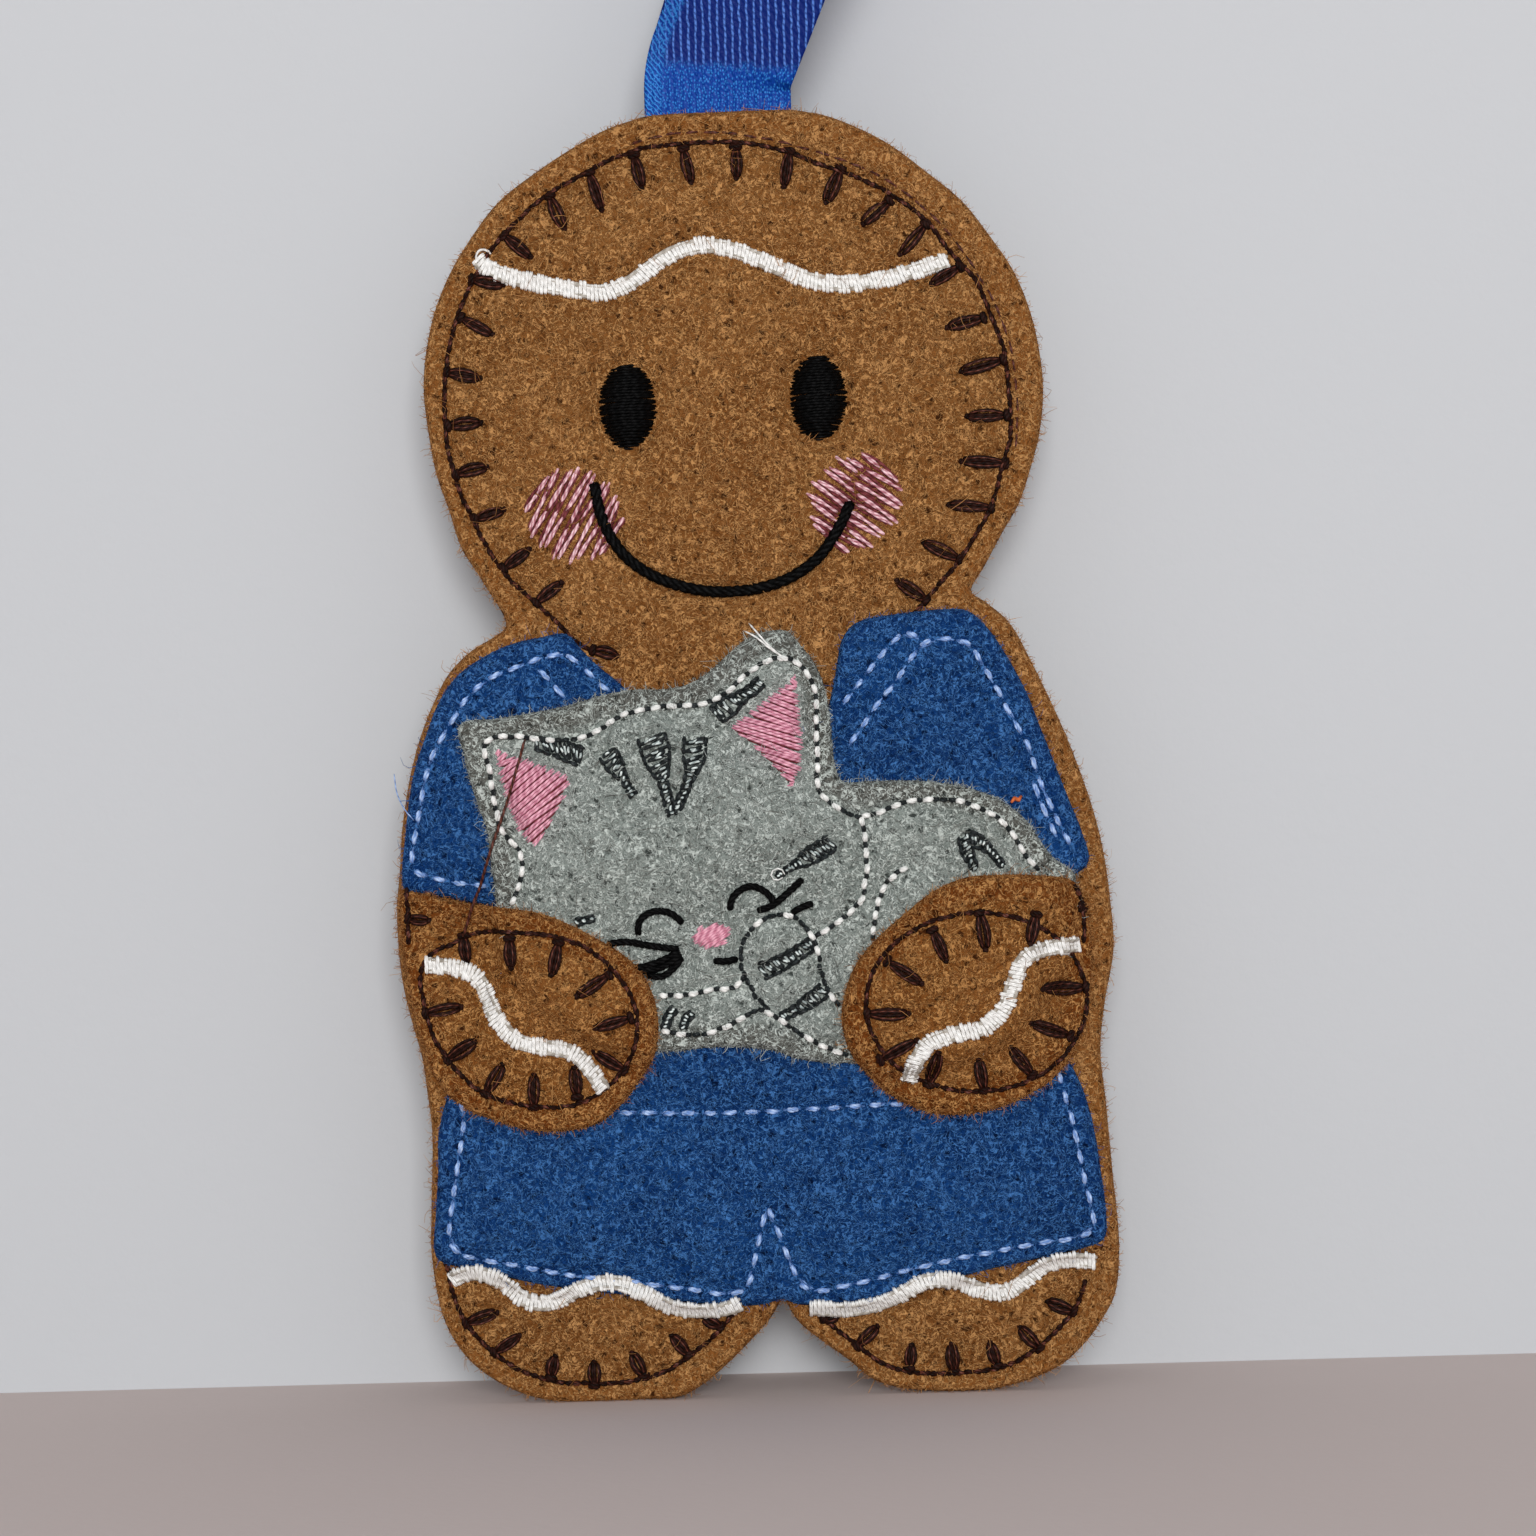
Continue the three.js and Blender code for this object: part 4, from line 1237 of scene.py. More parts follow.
    def build(
        self,
        name: str,
        finishes: Sequence[ThreadFinish],
        nodes: Sequence[str] = (),
        facing: Facing = Facing.FRONT,
    ) -> bpy.types.Object:
        """Makes the mesh of all the threads.

        Args:
            name: the piece's name.
            finishes: its finishes, one for each shade.
            nodes: the solids that it stands for.
            facing: the side of the figure that it lies on.

        Returns:
            The piece.
        """
        counts = [len(trail) for trail, _, _ in self.threads]
        stacked = np.vstack([trail for trail, _, _ in self.threads])
        stacked[:, 1] += self.ground(stacked[:, [0, 2]])
        corner = np.arange(self.sides)
        after = (corner + 1) % self.sides
        turns = (corner * TURN / self.sides)[:, None]
        places, lays, sides, caps, shades = [], [], [], [], []
        first = 0
        for trail, (_, radius, shade) in zip(np.split(stacked, np.cumsum(counts)[:-1]), self.threads):
            count = len(trail)
            ahead = unit(np.gradient(trail, axis=0))
            side = unit(np.cross(ahead, np.array([0.0, 1.0, 0.0])) + np.array([1e-6, 0, 0]))
            up = np.cross(side, ahead)
            taper = np.ones(count)
            taper[[0, -1]] = self.end_share
            around = -np.cos(turns) * up[:, None, :] + np.sin(turns) * side[:, None, :]
            places.append((trail[:, None, :] + around * (radius * taper)[:, None, None]).reshape(-1, 3))
            chance = self.random.uniform(0, 1)
            way_round = np.tile(corner / self.sides, count)
            way_along = np.repeat(distances(trail) + chance * 5, self.sides)
            lays.append(np.column_stack([way_round, way_along, np.full_like(way_along, chance)]))
            row = (first + np.arange(count - 1) * self.sides)[:, None]
            ahead_row = row + self.sides
            quads = np.stack([row + corner, ahead_row + corner, ahead_row + after, row + after], axis=-1)
            sides.append(quads.reshape(-1, 4))
            end = first + (count - 1) * self.sides
            caps.append(np.vstack([first + corner, end + corner[::-1]]))
            shades.append(shade)
            first += count * self.sides
        made = mesh_of(name, in_row(np.vstack(places), facing), [np.vstack(sides), np.vstack(caps)])
        note(made, "lay", np.vstack(lays))
        for finish in finishes:
            made.data.materials.append(finish.material())
        if len(finishes) > 1:
            of_sides = np.repeat(shades, [len(part) for part in sides])
            of_all = np.concatenate([of_sides, np.repeat(shades, 2)]).astype(np.int32)
            made.data.polygons.foreach_set("material_index", of_all)
        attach(made, "doll")
        if nodes:
            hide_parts(*nodes)
        LOG.info("%s: %d threads, %d faces", name, len(counts), len(made.data.polygons))
        return made


Ticks = Sequence[tuple[tuple[float, float], tuple[float, float]]]
# The threads of one tick: how far to its side, half the thickness, the height and the finish of each;
# 1 is the shaded brown that paints the shade inside the tick, 0 the lighter brown that paints its glints.
TICK_STRANDS = (
    (-1.0, 0.18, 0.2, 1),
    (-0.35, 0.2, 0.2, 1),
    (0.35, 0.2, 0.2, 1),
    (1.0, 0.18, 0.2, 1),
    (-0.8, 0.08, 0.4, 0),
    (0.7, 0.08, 0.4, 0),
)


@dataclass
class Border:
    """Blanket stitch: a border line with ticks that point inwards, each with its reach to both sides."""

    line: Line
    ticks: Ticks
    pitch: float = BORDER_PITCH
    tick_reach: float = 0.42
    root_reach: float = 0.65
    tip_reach: float = 0.3

    def seams(self) -> list[Line]:
        """The lines at which it pulls the felt in."""
        return [self.line, *[np.array(tick, float) for tick in self.ticks]]

    def sew(self, skein: Skein) -> None:
        """Lays the border line and its ticks.

        Args:
            skein: what the threads are added to.
        """
        skein.dashes(self.line, self.pitch, share=0.6, radius=0.12, spread=0.12, arch=0.26)
        # The low under-thread in the shaded brown paints the shade along the border line between its stitches.
        skein.dashes(self.line, self.pitch / 2, share=1.3, radius=0.19, spread=0.13, arch=0.1, shade=1)
        for root, tip in self.ticks:
            root, tip = np.array(root), np.array(tip)
            way = unit(tip - root)
            across = np.array([-way[1], way[0]])
            length = np.linalg.norm(tip - root)
            share = np.linspace(0, 1, 9)[:, None]
            swell = np.sin(share[:, 0] * math.pi)
            for side, radius, rise, shade in TICK_STRANDS:
                bow = np.sin(share * math.pi * skein.random.uniform(0.85, 1.0)) ** 0.8
                shift = across * (side * self.tick_reach + skein.random.normal(0, 0.06))
                flat = root + way * length * share + shift * bow + across * side * 0.1
                skein.lay(flat, 0.08 + rise * swell**0.5 - 0.18 * (1 - swell), radius, shade)
            # The stitches across the root and the tip are in the shaded brown and paint the shade at the knot and the
            # hole.
            wide, narrow = across * self.root_reach, across * self.tip_reach
            skein.stitch(root - wide, root + wide, radius=0.22, strands=3, arch=0.24, spread=0.22, shade=1)
            skein.stitch(tip - narrow, tip + narrow, radius=0.18, arch=0.1, shade=1)


@dataclass
class BrownFelts:
    """The two brown felts, head and body cut in one."""

    cut: Cut = Cut(1.25, 0.75, 3.2)
    back_cut: Cut = Cut(1.25, 0.5, 2.0)
    outline: Knots = (
        (-24.6, 79.4), (-27.1, 84.4), (-29, 87.6), (-30.1, 91.3), (-31.3, 95), (-32, 99.1), (-32.4, 104.6),
        (-31.3, 111), (-29.4, 115.6), (-26.7, 119.8), (-24.2, 122.8), (-20.3, 125.7), (-16.1, 128.3), (-12.9, 129.9),
        (-9.2, 130.9), (-1.7, 131.2), (5.9, 131.2), (8.7, 130.8), (11.9, 129.6), (15.6, 127.6), (19.2, 124.8),
        (22.9, 121.6), (25.7, 117.9), (28, 114.3), (29.6, 110.1), (30.5, 105.5), (30.7, 101.9), (30.2, 97.7),
        (29.3, 94.5), (28, 90.8), (26.1, 87.6), (24.3, 84.4), (22.8, 81.7), (24.3, 80.5), (26.6, 78.4), (28.7, 74.5),
        (32.5, 65.7), (35.2, 57), (36.2, 49.8), (36.4, 44.7), (35.4, 39.6), (34.8, 34.5), (35.2, 29.4), (35.7, 22.2),
        (36.2, 14.1), (35.6, 9.4), (34.2, 6.9), (32.7, 4.9), (30.3, 2.7), (27.4, 1.3), (23.5, 0.3), (20.1, 0.1),
        (17.2, 0.2), (13.8, 0.55), (10.9, 1.5), (8.5, 3.5), (6, 5.4), (3.9, 7.1), (2.9, 8.3), (1.9, 10), (0.2, 7.8),
        (-1.9, 5.6), (-4.1, 3.5), (-6.6, 1.5), (-9, 0.3), (-12.9, 0.1), (-17.2, 0), (-21.1, 0.1), (-24.5, 0.8),
        (-27.9, 2.5), (-30.5, 4.7), (-32.2, 7.3), (-33.2, 10.2), (-33.9, 15.6), (-33.8, 19.5), (-33.5, 28),
        (-33.9, 32.1), (-34.3, 35.4), (-35, 38.2), (-35.8, 41.5), (-36.3, 44.8), (-36.5, 48.1), (-36.5, 51),
        (-36.1, 54.7), (-35.8, 58.5), (-35.3, 61.8), (-34.6, 65.1), (-33.6, 68.4), (-32.2, 71.7), (-30.6, 74.6),
        (-28.2, 76.9), (-25.8, 78.3),
    )

    def front(self, seams: Sequence[Line]) -> Felt:
        """The front felt, dented along the given seams."""
        return Felt("brown_front", "front_felt", BROWN, self.outline, self.cut, seams, seed=11)

    def back(self, seams: Sequence[Line]) -> Felt:
        """The plain back felt, held by the last seams alone."""
        return Felt("brown_back", "back_felt", BROWN, self.outline, self.back_cut, seams, facing=Facing.BACK, seed=12)


@dataclass
class HeadStitching:
    """What is sewn on the head: its border, the icing with its slack end, the eyes, the cheeks and the smile."""

    icing_width: float = 1.85
    eye_size: tuple[float, float] = (5.7, 8.8)
    left_eye: tuple[float, float] = (-11.7, 101.5)
    right_eye: tuple[float, float] = (7.8, 101.9)
    left_cheek: tuple[float, float] = (-17.2, 90.4)
    right_cheek: tuple[float, float] = (11.2, 90.8)
    cheek_size: tuple[float, float] = (10.0, 10.0)
    cheek_rows: int = 11
    slack_place: tuple[float, float] = (-26.0, 117.15)
    slack_size: tuple[float, float] = (1.5, 1.4)
    ring: Knots = (
        (15.5, 78.2), (17.9, 80.5), (19.7, 82.6), (21.8, 84.9), (23.6, 87.6), (25.2, 90.4), (26.3, 94.1), (27.3, 97.3),
        (27.3, 101.9), (26.8, 106.5), (25.7, 109.7), (24.3, 113.3), (21.5, 116.6), (19.2, 119.8), (16, 122.3),
        (12.8, 124.1), (8.7, 125.7), (5, 127.1), (1.3, 128.0), (-1.9, 128.2), (-6, 128.1), (-9.2, 127.8),
        (-12.5, 126.9), (-15.7, 125.3), (-19.3, 123.4), (-22.1, 121.1), (-24.8, 118.4), (-26.7, 115.6), (-28.5, 112),
        (-29.7, 108.3), (-30.4, 102.8), (-30.1, 97.3), (-29.2, 93.6), (-27.8, 90.4), (-26.5, 87.6), (-24.4, 84.4),
        (-21.6, 81.7), (-19.3, 79.4), (-18, 78), (-16.2, 76.7), (-14.2, 75.8),
    )
    second_ring: Knots = (
        (27.8, 96), (28.1, 101.5), (27.4, 106.9), (26.0, 111.2), (23.6, 115.4), (20.6, 119.4), (17.2, 122.6),
        (13.2, 125.1), (9, 126.7), (4.6, 128.0), (0.4, 128.9), (-4.4, 129.2), (-8, 128.9), (-11, 128.2),
    )
    ticks: Ticks = (
        ((-19.1, 123.2), (-17.7, 119.8)), ((-15, 125.5), (-13.8, 121.6)), ((-10.4, 127.1), (-9.7, 123.7)),
        ((-5.3, 127.6), (-4.6, 124.1)), ((0, 127.6), (0, 124.4)), ((5.5, 127.1), (4.8, 123.4)),
        ((10.7, 125.3), (9.1, 121.8)), ((15.6, 121.8), (12.8, 119.5)), ((19.2, 119.3), (16.5, 116.3)),
        ((22.6, 114.9), (19.6, 113.2)), ((24.9, 109.6), (21.1, 108.7)), ((26.8, 105.3), (22.4, 104.2)),
        ((27, 99.6), (22.9, 99.6)), ((26.8, 94.7), (22.2, 95)), ((25.2, 90.2), (20.8, 90.6)),
        ((21.8, 85), (18.1, 86.9)), ((18.3, 80.9), (15.3, 83)), ((-23.9, 119.3), (-21.2, 117)),
        ((-28.5, 111), (-25.3, 109.2)), ((-30.1, 105.5), (-26.7, 104.8)), ((-30.1, 100), (-26.7, 100.2)),
        ((-29.4, 95), (-26.2, 95.7)), ((-27.6, 90.4), (-24.6, 91.3)), ((-24.8, 85.3), (-22.1, 87.2)),
        ((-21.6, 81.7), (-18.9, 83.7)), ((-15.9, 76.7), (-13.4, 76)), ((-27.3, 114.9), (-24, 114.2)),
    )
    icing: Knots = (
        (-26.6, 117.0), (-26, 116.2), (-23.9, 115.2), (-20.3, 114.2), (-17, 113.6), (-13.8, 113.2), (-11.5, 113.9),
        (-9.2, 115.4), (-6.9, 116.9), (-3.7, 117.7), (-1, 117.3), (1.8, 116.3), (4.5, 115.0), (7.3, 113.9),
        (10.5, 113.4), (13.3, 113.6), (16.5, 114.2), (19.2, 114.9), (21.5, 115.5),
    )
    smile: Knots = (
        (-15.3, 93.8), (-14.8, 90.8), (-13.9, 88.5), (-12.5, 86.4), (-10.5, 84.7), (-7.9, 83.4), (-4.6, 82.5),
        (-1.4, 82.3), (1.8, 82.7), (4.5, 83.6), (7.2, 85.4), (8.9, 87.5), (10.2, 89.8), (10.8, 91.2),
    )

    def border(self) -> Border:
        """The head's blanket stitch."""
        return Border(curve(self.ring), self.ticks)

    def seams(self) -> list[Line]:
        """The lines at which its stitches pull the felt in."""
        ovals = [oval(self.left_eye, self.eye_size), oval(self.right_eye, self.eye_size)]
        return [*self.border().seams(), curve(self.icing), curve(self.smile), *map(looped, ovals)]

    def _cheek(self, middle: tuple[float, float], angle: float, felt: Felt, seed: int) -> Skein:
        """One cheek: open strokes of doubled thread across an oval, with low threads beside them that paint their
        shade.

        Args:
            middle: the oval's middle.
            angle: the direction of its strokes, in degrees.
            felt: what it is sewn on.
            seed: which chance unevenness it has.

        Returns:
            Its threads.
        """
        skein = Skein(felt.front, seed)
        along = along_way(angle)
        across = np.array([-along[1], along[0]])
        for row in range(self.cheek_rows):
            off = (2 * (row + 0.5) / self.cheek_rows - 1) * 0.96
            chord = math.sqrt(1 - off * off) * self.cheek_size[1] / 2
            place = np.array(middle) + across * off * self.cheek_size[0] / 2
            ends = [place + along * chord * way * skein.random.uniform(0.9, 1.06) for way in (-1, 1)]
            ends[row % 2] = ends[row % 2] + across * 0.42
            hole = ends[0] + (ends[1] - ends[0]) * skein.random.uniform(0.3, 0.7)
            for near, far in ((ends[0], hole), (hole, ends[1])):
                skein.stitch(near, far, radius=0.13, spread=0.12, turns=0.7, arch=0.3, points=14)
            # Two low threads in the shaded pink beside each stroke paint the shade round it.
            for shift in (across * -0.22, across * 0.26):
                skein.stitch(ends[0] + shift, ends[1] + shift, radius=0.17, strands=1, arch=0.03, shade=1, points=12)
        return skein

    def build(self, felt: Felt) -> list[bpy.types.Object]:
        """Makes all of the head's threads.

        Args:
            felt: the front felt.

        Returns:
            The pieces.
        """
        border = Skein(felt.front, 21)
        self.border().sew(border)
        border.dashes(curve(self.second_ring), BORDER_PITCH, share=0.95, radius=0.1, spread=0.05, arch=0.02)
        icing = Skein(felt.front, 22)
        icing.band(curve(self.icing, step=0.3), self.icing_width)
        loop = oval(self.slack_place, self.slack_size)[5:70]
        icing.lay(loop, np.full(len(loop), 0.25), 0.13)
        smile = Skein(felt.front, 23)
        smile.rope(curve(self.smile), radius=0.38, spread=0.28, pitch=2.8, height=0.4)
        pieces = [
            border.build("head_border_threads", BROWN_PAIR, ["head_blanket_stitch"]),
            icing.build("forehead_icing_threads", WHITE_PAIR, ["forehead_icing"]),
            smile.build("smile_threads", [BLACK_THREAD], ["smile"]),
        ]
        for name, middle, seed in (("left_eye", self.left_eye, 24), ("right_eye", self.right_eye, 25)):
            eye = Skein(felt.front, seed)
            outline = oval(middle, self.eye_size)
            eye.fill(outline, angle=2.0, pitch=0.3, crown=0.62, radius=0.19, longest=2.5)
            pieces.append(eye.build(f"{name}_threads", [BLACK_THREAD], [name]))
        cheeks = (("left_cheek", self.left_cheek, 60, 26), ("right_cheek", self.right_cheek, -35, 27))
        for name, middle, angle, seed in cheeks:
            cheek = self._cheek(middle, angle, felt, seed)
            pieces.append(cheek.build(f"{name}_threads", [CHEEK_THREAD, SHADED_PINK_THREAD], [name]))
        return pieces


def border_and_icing(name: str, border: Skein, icing: Skein) -> list[bpy.types.Object]:
    """The two pieces sewn on a foot or a hand.

    Args:
        name: the foot or the hand.
        border: its blanket stitch.
        icing: its satin band.

    Returns:
        The pieces.
    """
    return [
        border.build(f"{name}_border_threads", BROWN_PAIR, [f"{name}_blanket_stitch"]),
        icing.build(f"{name}_icing_threads", WHITE_PAIR, [f"{name}_icing"]),
    ]


@dataclass
class Foot:
    """One foot's blanket stitch and icing."""

    side: str
    border: Knots
    ticks: Ticks
    icing: Knots
    seed: int
    icing_width: float = 1.8

    def seams(self) -> list[Line]:
        """The lines at which its stitches pull the felt in."""
        return [*Border(curve(self.border), self.ticks).seams(), curve(self.icing)]

    def build(self, felt: Felt, clothes: Felt) -> list[bpy.types.Object]:
        """Makes the foot's threads; its icing is sewn over the clothes' hem.

        Args:
            felt: the front felt.
            clothes: the clothes' felt.

        Returns:
            The pieces.
        """
        border = Skein(felt.front, self.seed)
        Border(curve(self.border), self.ticks, pitch=1.8).sew(border)
        icing = Skein(clothes.cover, self.seed + 1)
        icing.band(curve(self.icing, step=0.3), self.icing_width)
        return border_and_icing(f"{self.side}_foot", border, icing)


def feet() -> list[Foot]:
    """The left and the right foot.

    Returns:
        Both feet.
    """
    left = Foot(
        side="left",
        border=(
            (-32.6, 14.9), (-31.6, 10.4), (-30.3, 7.8), (-27.9, 5.2), (-25, 3.2), (-22.1, 2.2), (-18.7, 1.8),
            (-14.8, 1.8), (-10.9, 2.6), (-8, 4.3), (-5.6, 6.1), (-3.2, 8.6),
        ),
        ticks=(
            ((-30.7, 8.3), (-27.4, 9.3)), ((-27.9, 5.2), (-25.2, 6.9)), ((-22.1, 2.5), (-21.6, 4.7)),
            ((-17.7, 1.6), (-17.7, 4)), ((-12.6, 2.4), (-13.8, 4.8)), ((-8, 4.4), (-9.7, 6.5)),
            ((-4.6, 7.2), (-6.4, 8.3)),
        ),
        icing=(
            (-32, 12.8), (-30.3, 13.5), (-28.4, 13.3), (-26.4, 12.2), (-25, 10.8), (-23, 10.1), (-21.1, 10.4),
            (-19.2, 11.5), (-16.7, 12.2), (-14.3, 12), (-12.4, 11.1), (-10.4, 9.9), (-8.5, 9.2), (-6.1, 9),
            (-4.1, 9.2), (-2.4, 9.7),
        ),
        seed=31,
    )
    right = Foot(
        side="right",
        border=(
            (4.6, 8.9), (7, 6.9), (9.4, 4.9), (11.9, 3), (14.8, 2.1), (18.2, 1.9), (21.6, 2), (25, 2.7), (27.9, 4.4),
            (30.3, 6.6), (31.9, 8.6), (32.8, 11.2),
        ),
        ticks=(
            ((9.2, 4.9), (11.4, 6.9)), ((14.5, 2.5), (14.8, 4.9)), ((19.1, 2), (18.9, 4.9)), ((23.5, 2.5), (22.8, 4.9)),
            ((27.9, 4.2), (25.9, 6.4)), ((31.5, 7.9), (28.8, 9)), ((5.8, 7.9), (7.4, 8)),
        ),
        icing=(
            (4.6, 9.1), (7, 8.8), (9.9, 8.9), (12.4, 9.6), (14.3, 10.5), (16.2, 11.5), (19.1, 11.5), (21.6, 10.5),
            (23.5, 10), (25.4, 10.4), (27.4, 11.9), (29.3, 13), (31.7, 13.2), (33.9, 12.9),
        ),
        seed=33,
    )
    return [left, right]


@dataclass
class Clothes:
    """The blue felt with straps, sleeves and shorts, and the bean stitch along its edges."""

    cut: Cut = Cut(1.1, 0.45, 1.4)
    pitch: float = 2.1
    outline: Knots = (
        (-18.5, 78.3), (-21.1, 78), (-24, 77.4), (-26.8, 76.2), (-29.6, 74.3), (-31.5, 71.7), (-32.9, 68.4),
        (-34.1, 65.1), (-34.8, 61.8), (-35.3, 58), (-35.7, 54.3), (-35.4, 52.7), (-32.9, 52.3), (-29.1, 51.4),
        (-26.3, 50.6), (-25.4, 46), (-27, 40), (-30.3, 35), (-32, 30.6), (-32.7, 27.5), (-32.8, 24.3), (-33.2, 19.5),
        (-33.5, 16.1), (-33.1, 14.9), (-30.3, 14.1), (-25.5, 12.9), (-20.6, 11.9), (-15.8, 11.2), (-10.9, 10.5),
        (-6.1, 9.8), (-2.2, 9.5), (0.2, 9.8), (1.7, 10.2), (3.6, 9.5), (8.5, 9.5), (13.3, 10.2), (18.2, 11.5),
        (23, 12.7), (27.9, 13.6), (32.7, 14.6), (34.6, 15.5), (34.8, 18), (34.4, 21.9), (33.9, 25.8), (33.2, 29.2),
        (32.2, 32), (29.5, 37), (27.6, 41.5), (28.2, 47), (31, 51.6), (33.9, 53.8), (33.4, 56.6), (32.2, 59.9),
        (30.8, 63.7), (29.4, 67.5), (28, 71.3), (26.1, 75), (24.2, 77.9), (22.3, 79.6), (19.9, 79.8), (15.7, 79.5),
        (11, 78.6), (9.6, 76.9), (9.1, 74.6), (8.6, 72.2), (7.8, 69.6), (5.5, 66.5), (1, 64.4), (-5, 65), (-9.5, 68.2),
        (-12.2, 72), (-13.6, 73.4), (-15.5, 75), (-17.3, 76.9),
    )
    shorts: Knots = (
        (-30.5, 31.6), (-30.1, 29.6), (-30.8, 25.3), (-31.5, 20.9), (-32, 17), (-31.6, 15.9), (-28.9, 14.9), (-24, 14),
        (-18.7, 12.9), (-13.8, 12.2), (-8.5, 11.5), (-2.7, 10.8), (-1.7, 11.6), (-0.8, 15.1), (0, 18), (0.5, 19.6),
        (1.1, 18), (2.2, 15.1), (3.3, 12.3), (4.1, 11), (7.5, 11.2), (12.4, 12.2), (17.7, 13.4), (23, 14.4),
        (27.9, 15.1), (31.7, 15.6), (33.6, 16.4), (33.5, 18), (32.7, 21.9), (32, 25.8), (31, 30.1), (30.3, 33),
    )
    waist: Knots = ((-14.6, 29.6), (-7, 29.35), (0, 29.3), (7, 29.5), (14.9, 29.8))
    left_sleeve: Knots = (
        (-26.8, 52.9), (-30.1, 53.3), (-32.9, 54), (-34.6, 54.6), (-34.7, 56.2), (-33.9, 60.4), (-32.9, 65.1),
        (-31.5, 68), (-29.9, 70.4), (-28.7, 72.2), (-26.3, 74.1), (-23.5, 75.1), (-18.9, 76.4), (-16.9, 75),
        (-15.5, 73.4), (-14, 72.2),
    )
    left_strap: Knots = ((-21.6, 75), (-20.7, 74.1), (-19.5, 72.7), (-18.6, 71.6))
    right_sleeve: Knots = (
        (9.8, 66.1), (11.4, 68.2), (12.9, 70.3), (14.7, 72.4), (16.2, 74.6), (17.6, 76.3), (19, 76.9), (22.3, 76.4),
        (23.5, 74.6), (25.1, 71.7), (27, 68), (28.4, 65.1), (29.4, 61.8), (30.8, 58.5), (32.3, 55.3),
    )
    right_strap: Knots = ((9.3, 70.3), (11, 72.4), (12.4, 74.1), (14.3, 76.2), (15.9, 77.6), (17.6, 77))
    inner_sleeve: Knots = ((28.4, 62.4), (29.6, 59.2), (30.9, 56.2))

    def lines(self) -> dict[str, list[Line]]:
        """The seams by the solid that each stands for.

        Returns:
            The lines of each solid.
        """
        return {
            "shorts_stitch": [curve(self.shorts)],
            "waist_stitch": [curve(self.waist)],
            "left_sleeve_stitch": [curve(self.left_sleeve)],
            "left_strap_stitch": [curve(self.left_strap)],
            "right_sleeve_stitch": [curve(self.right_sleeve), curve(self.inner_sleeve)],
            "right_strap_stitch": [curve(self.right_strap)],
        }

    def felt(self, under: Felt) -> Felt:
        """The blue felt, dented along its seams."""
        seams = [line for lines in self.lines().values() for line in lines]
        return Felt("clothes", "clothes_felt", BLUE, self.outline, self.cut, seams, under, seed=13)

    def build(self, felt: Felt) -> list[bpy.types.Object]:
        """Makes the seams' threads.

        Args:
            felt: the blue felt.

        Returns:
            The pieces.
        """
        pieces = []
        for index, (node, lines) in enumerate(self.lines().items()):
            skein = Skein(felt.front, 41 + index)
            for line in lines:
                skein.dashes(line, self.pitch, share=0.64, radius=0.15, spread=0.15, strands=3, turns=0.6, arch=0.28)
                # The low connecting stitches in the shaded blue paint the shade between the light beads.
                skein.dashes(line, self.pitch, share=1.1, radius=0.1, spread=0.13, turns=1.0, arch=0.1, shade=1)
            pieces.append(skein.build(f"{node}_threads", [PALE_BLUE_THREAD, SHADED_BLUE_THREAD], [node]))
        return pieces


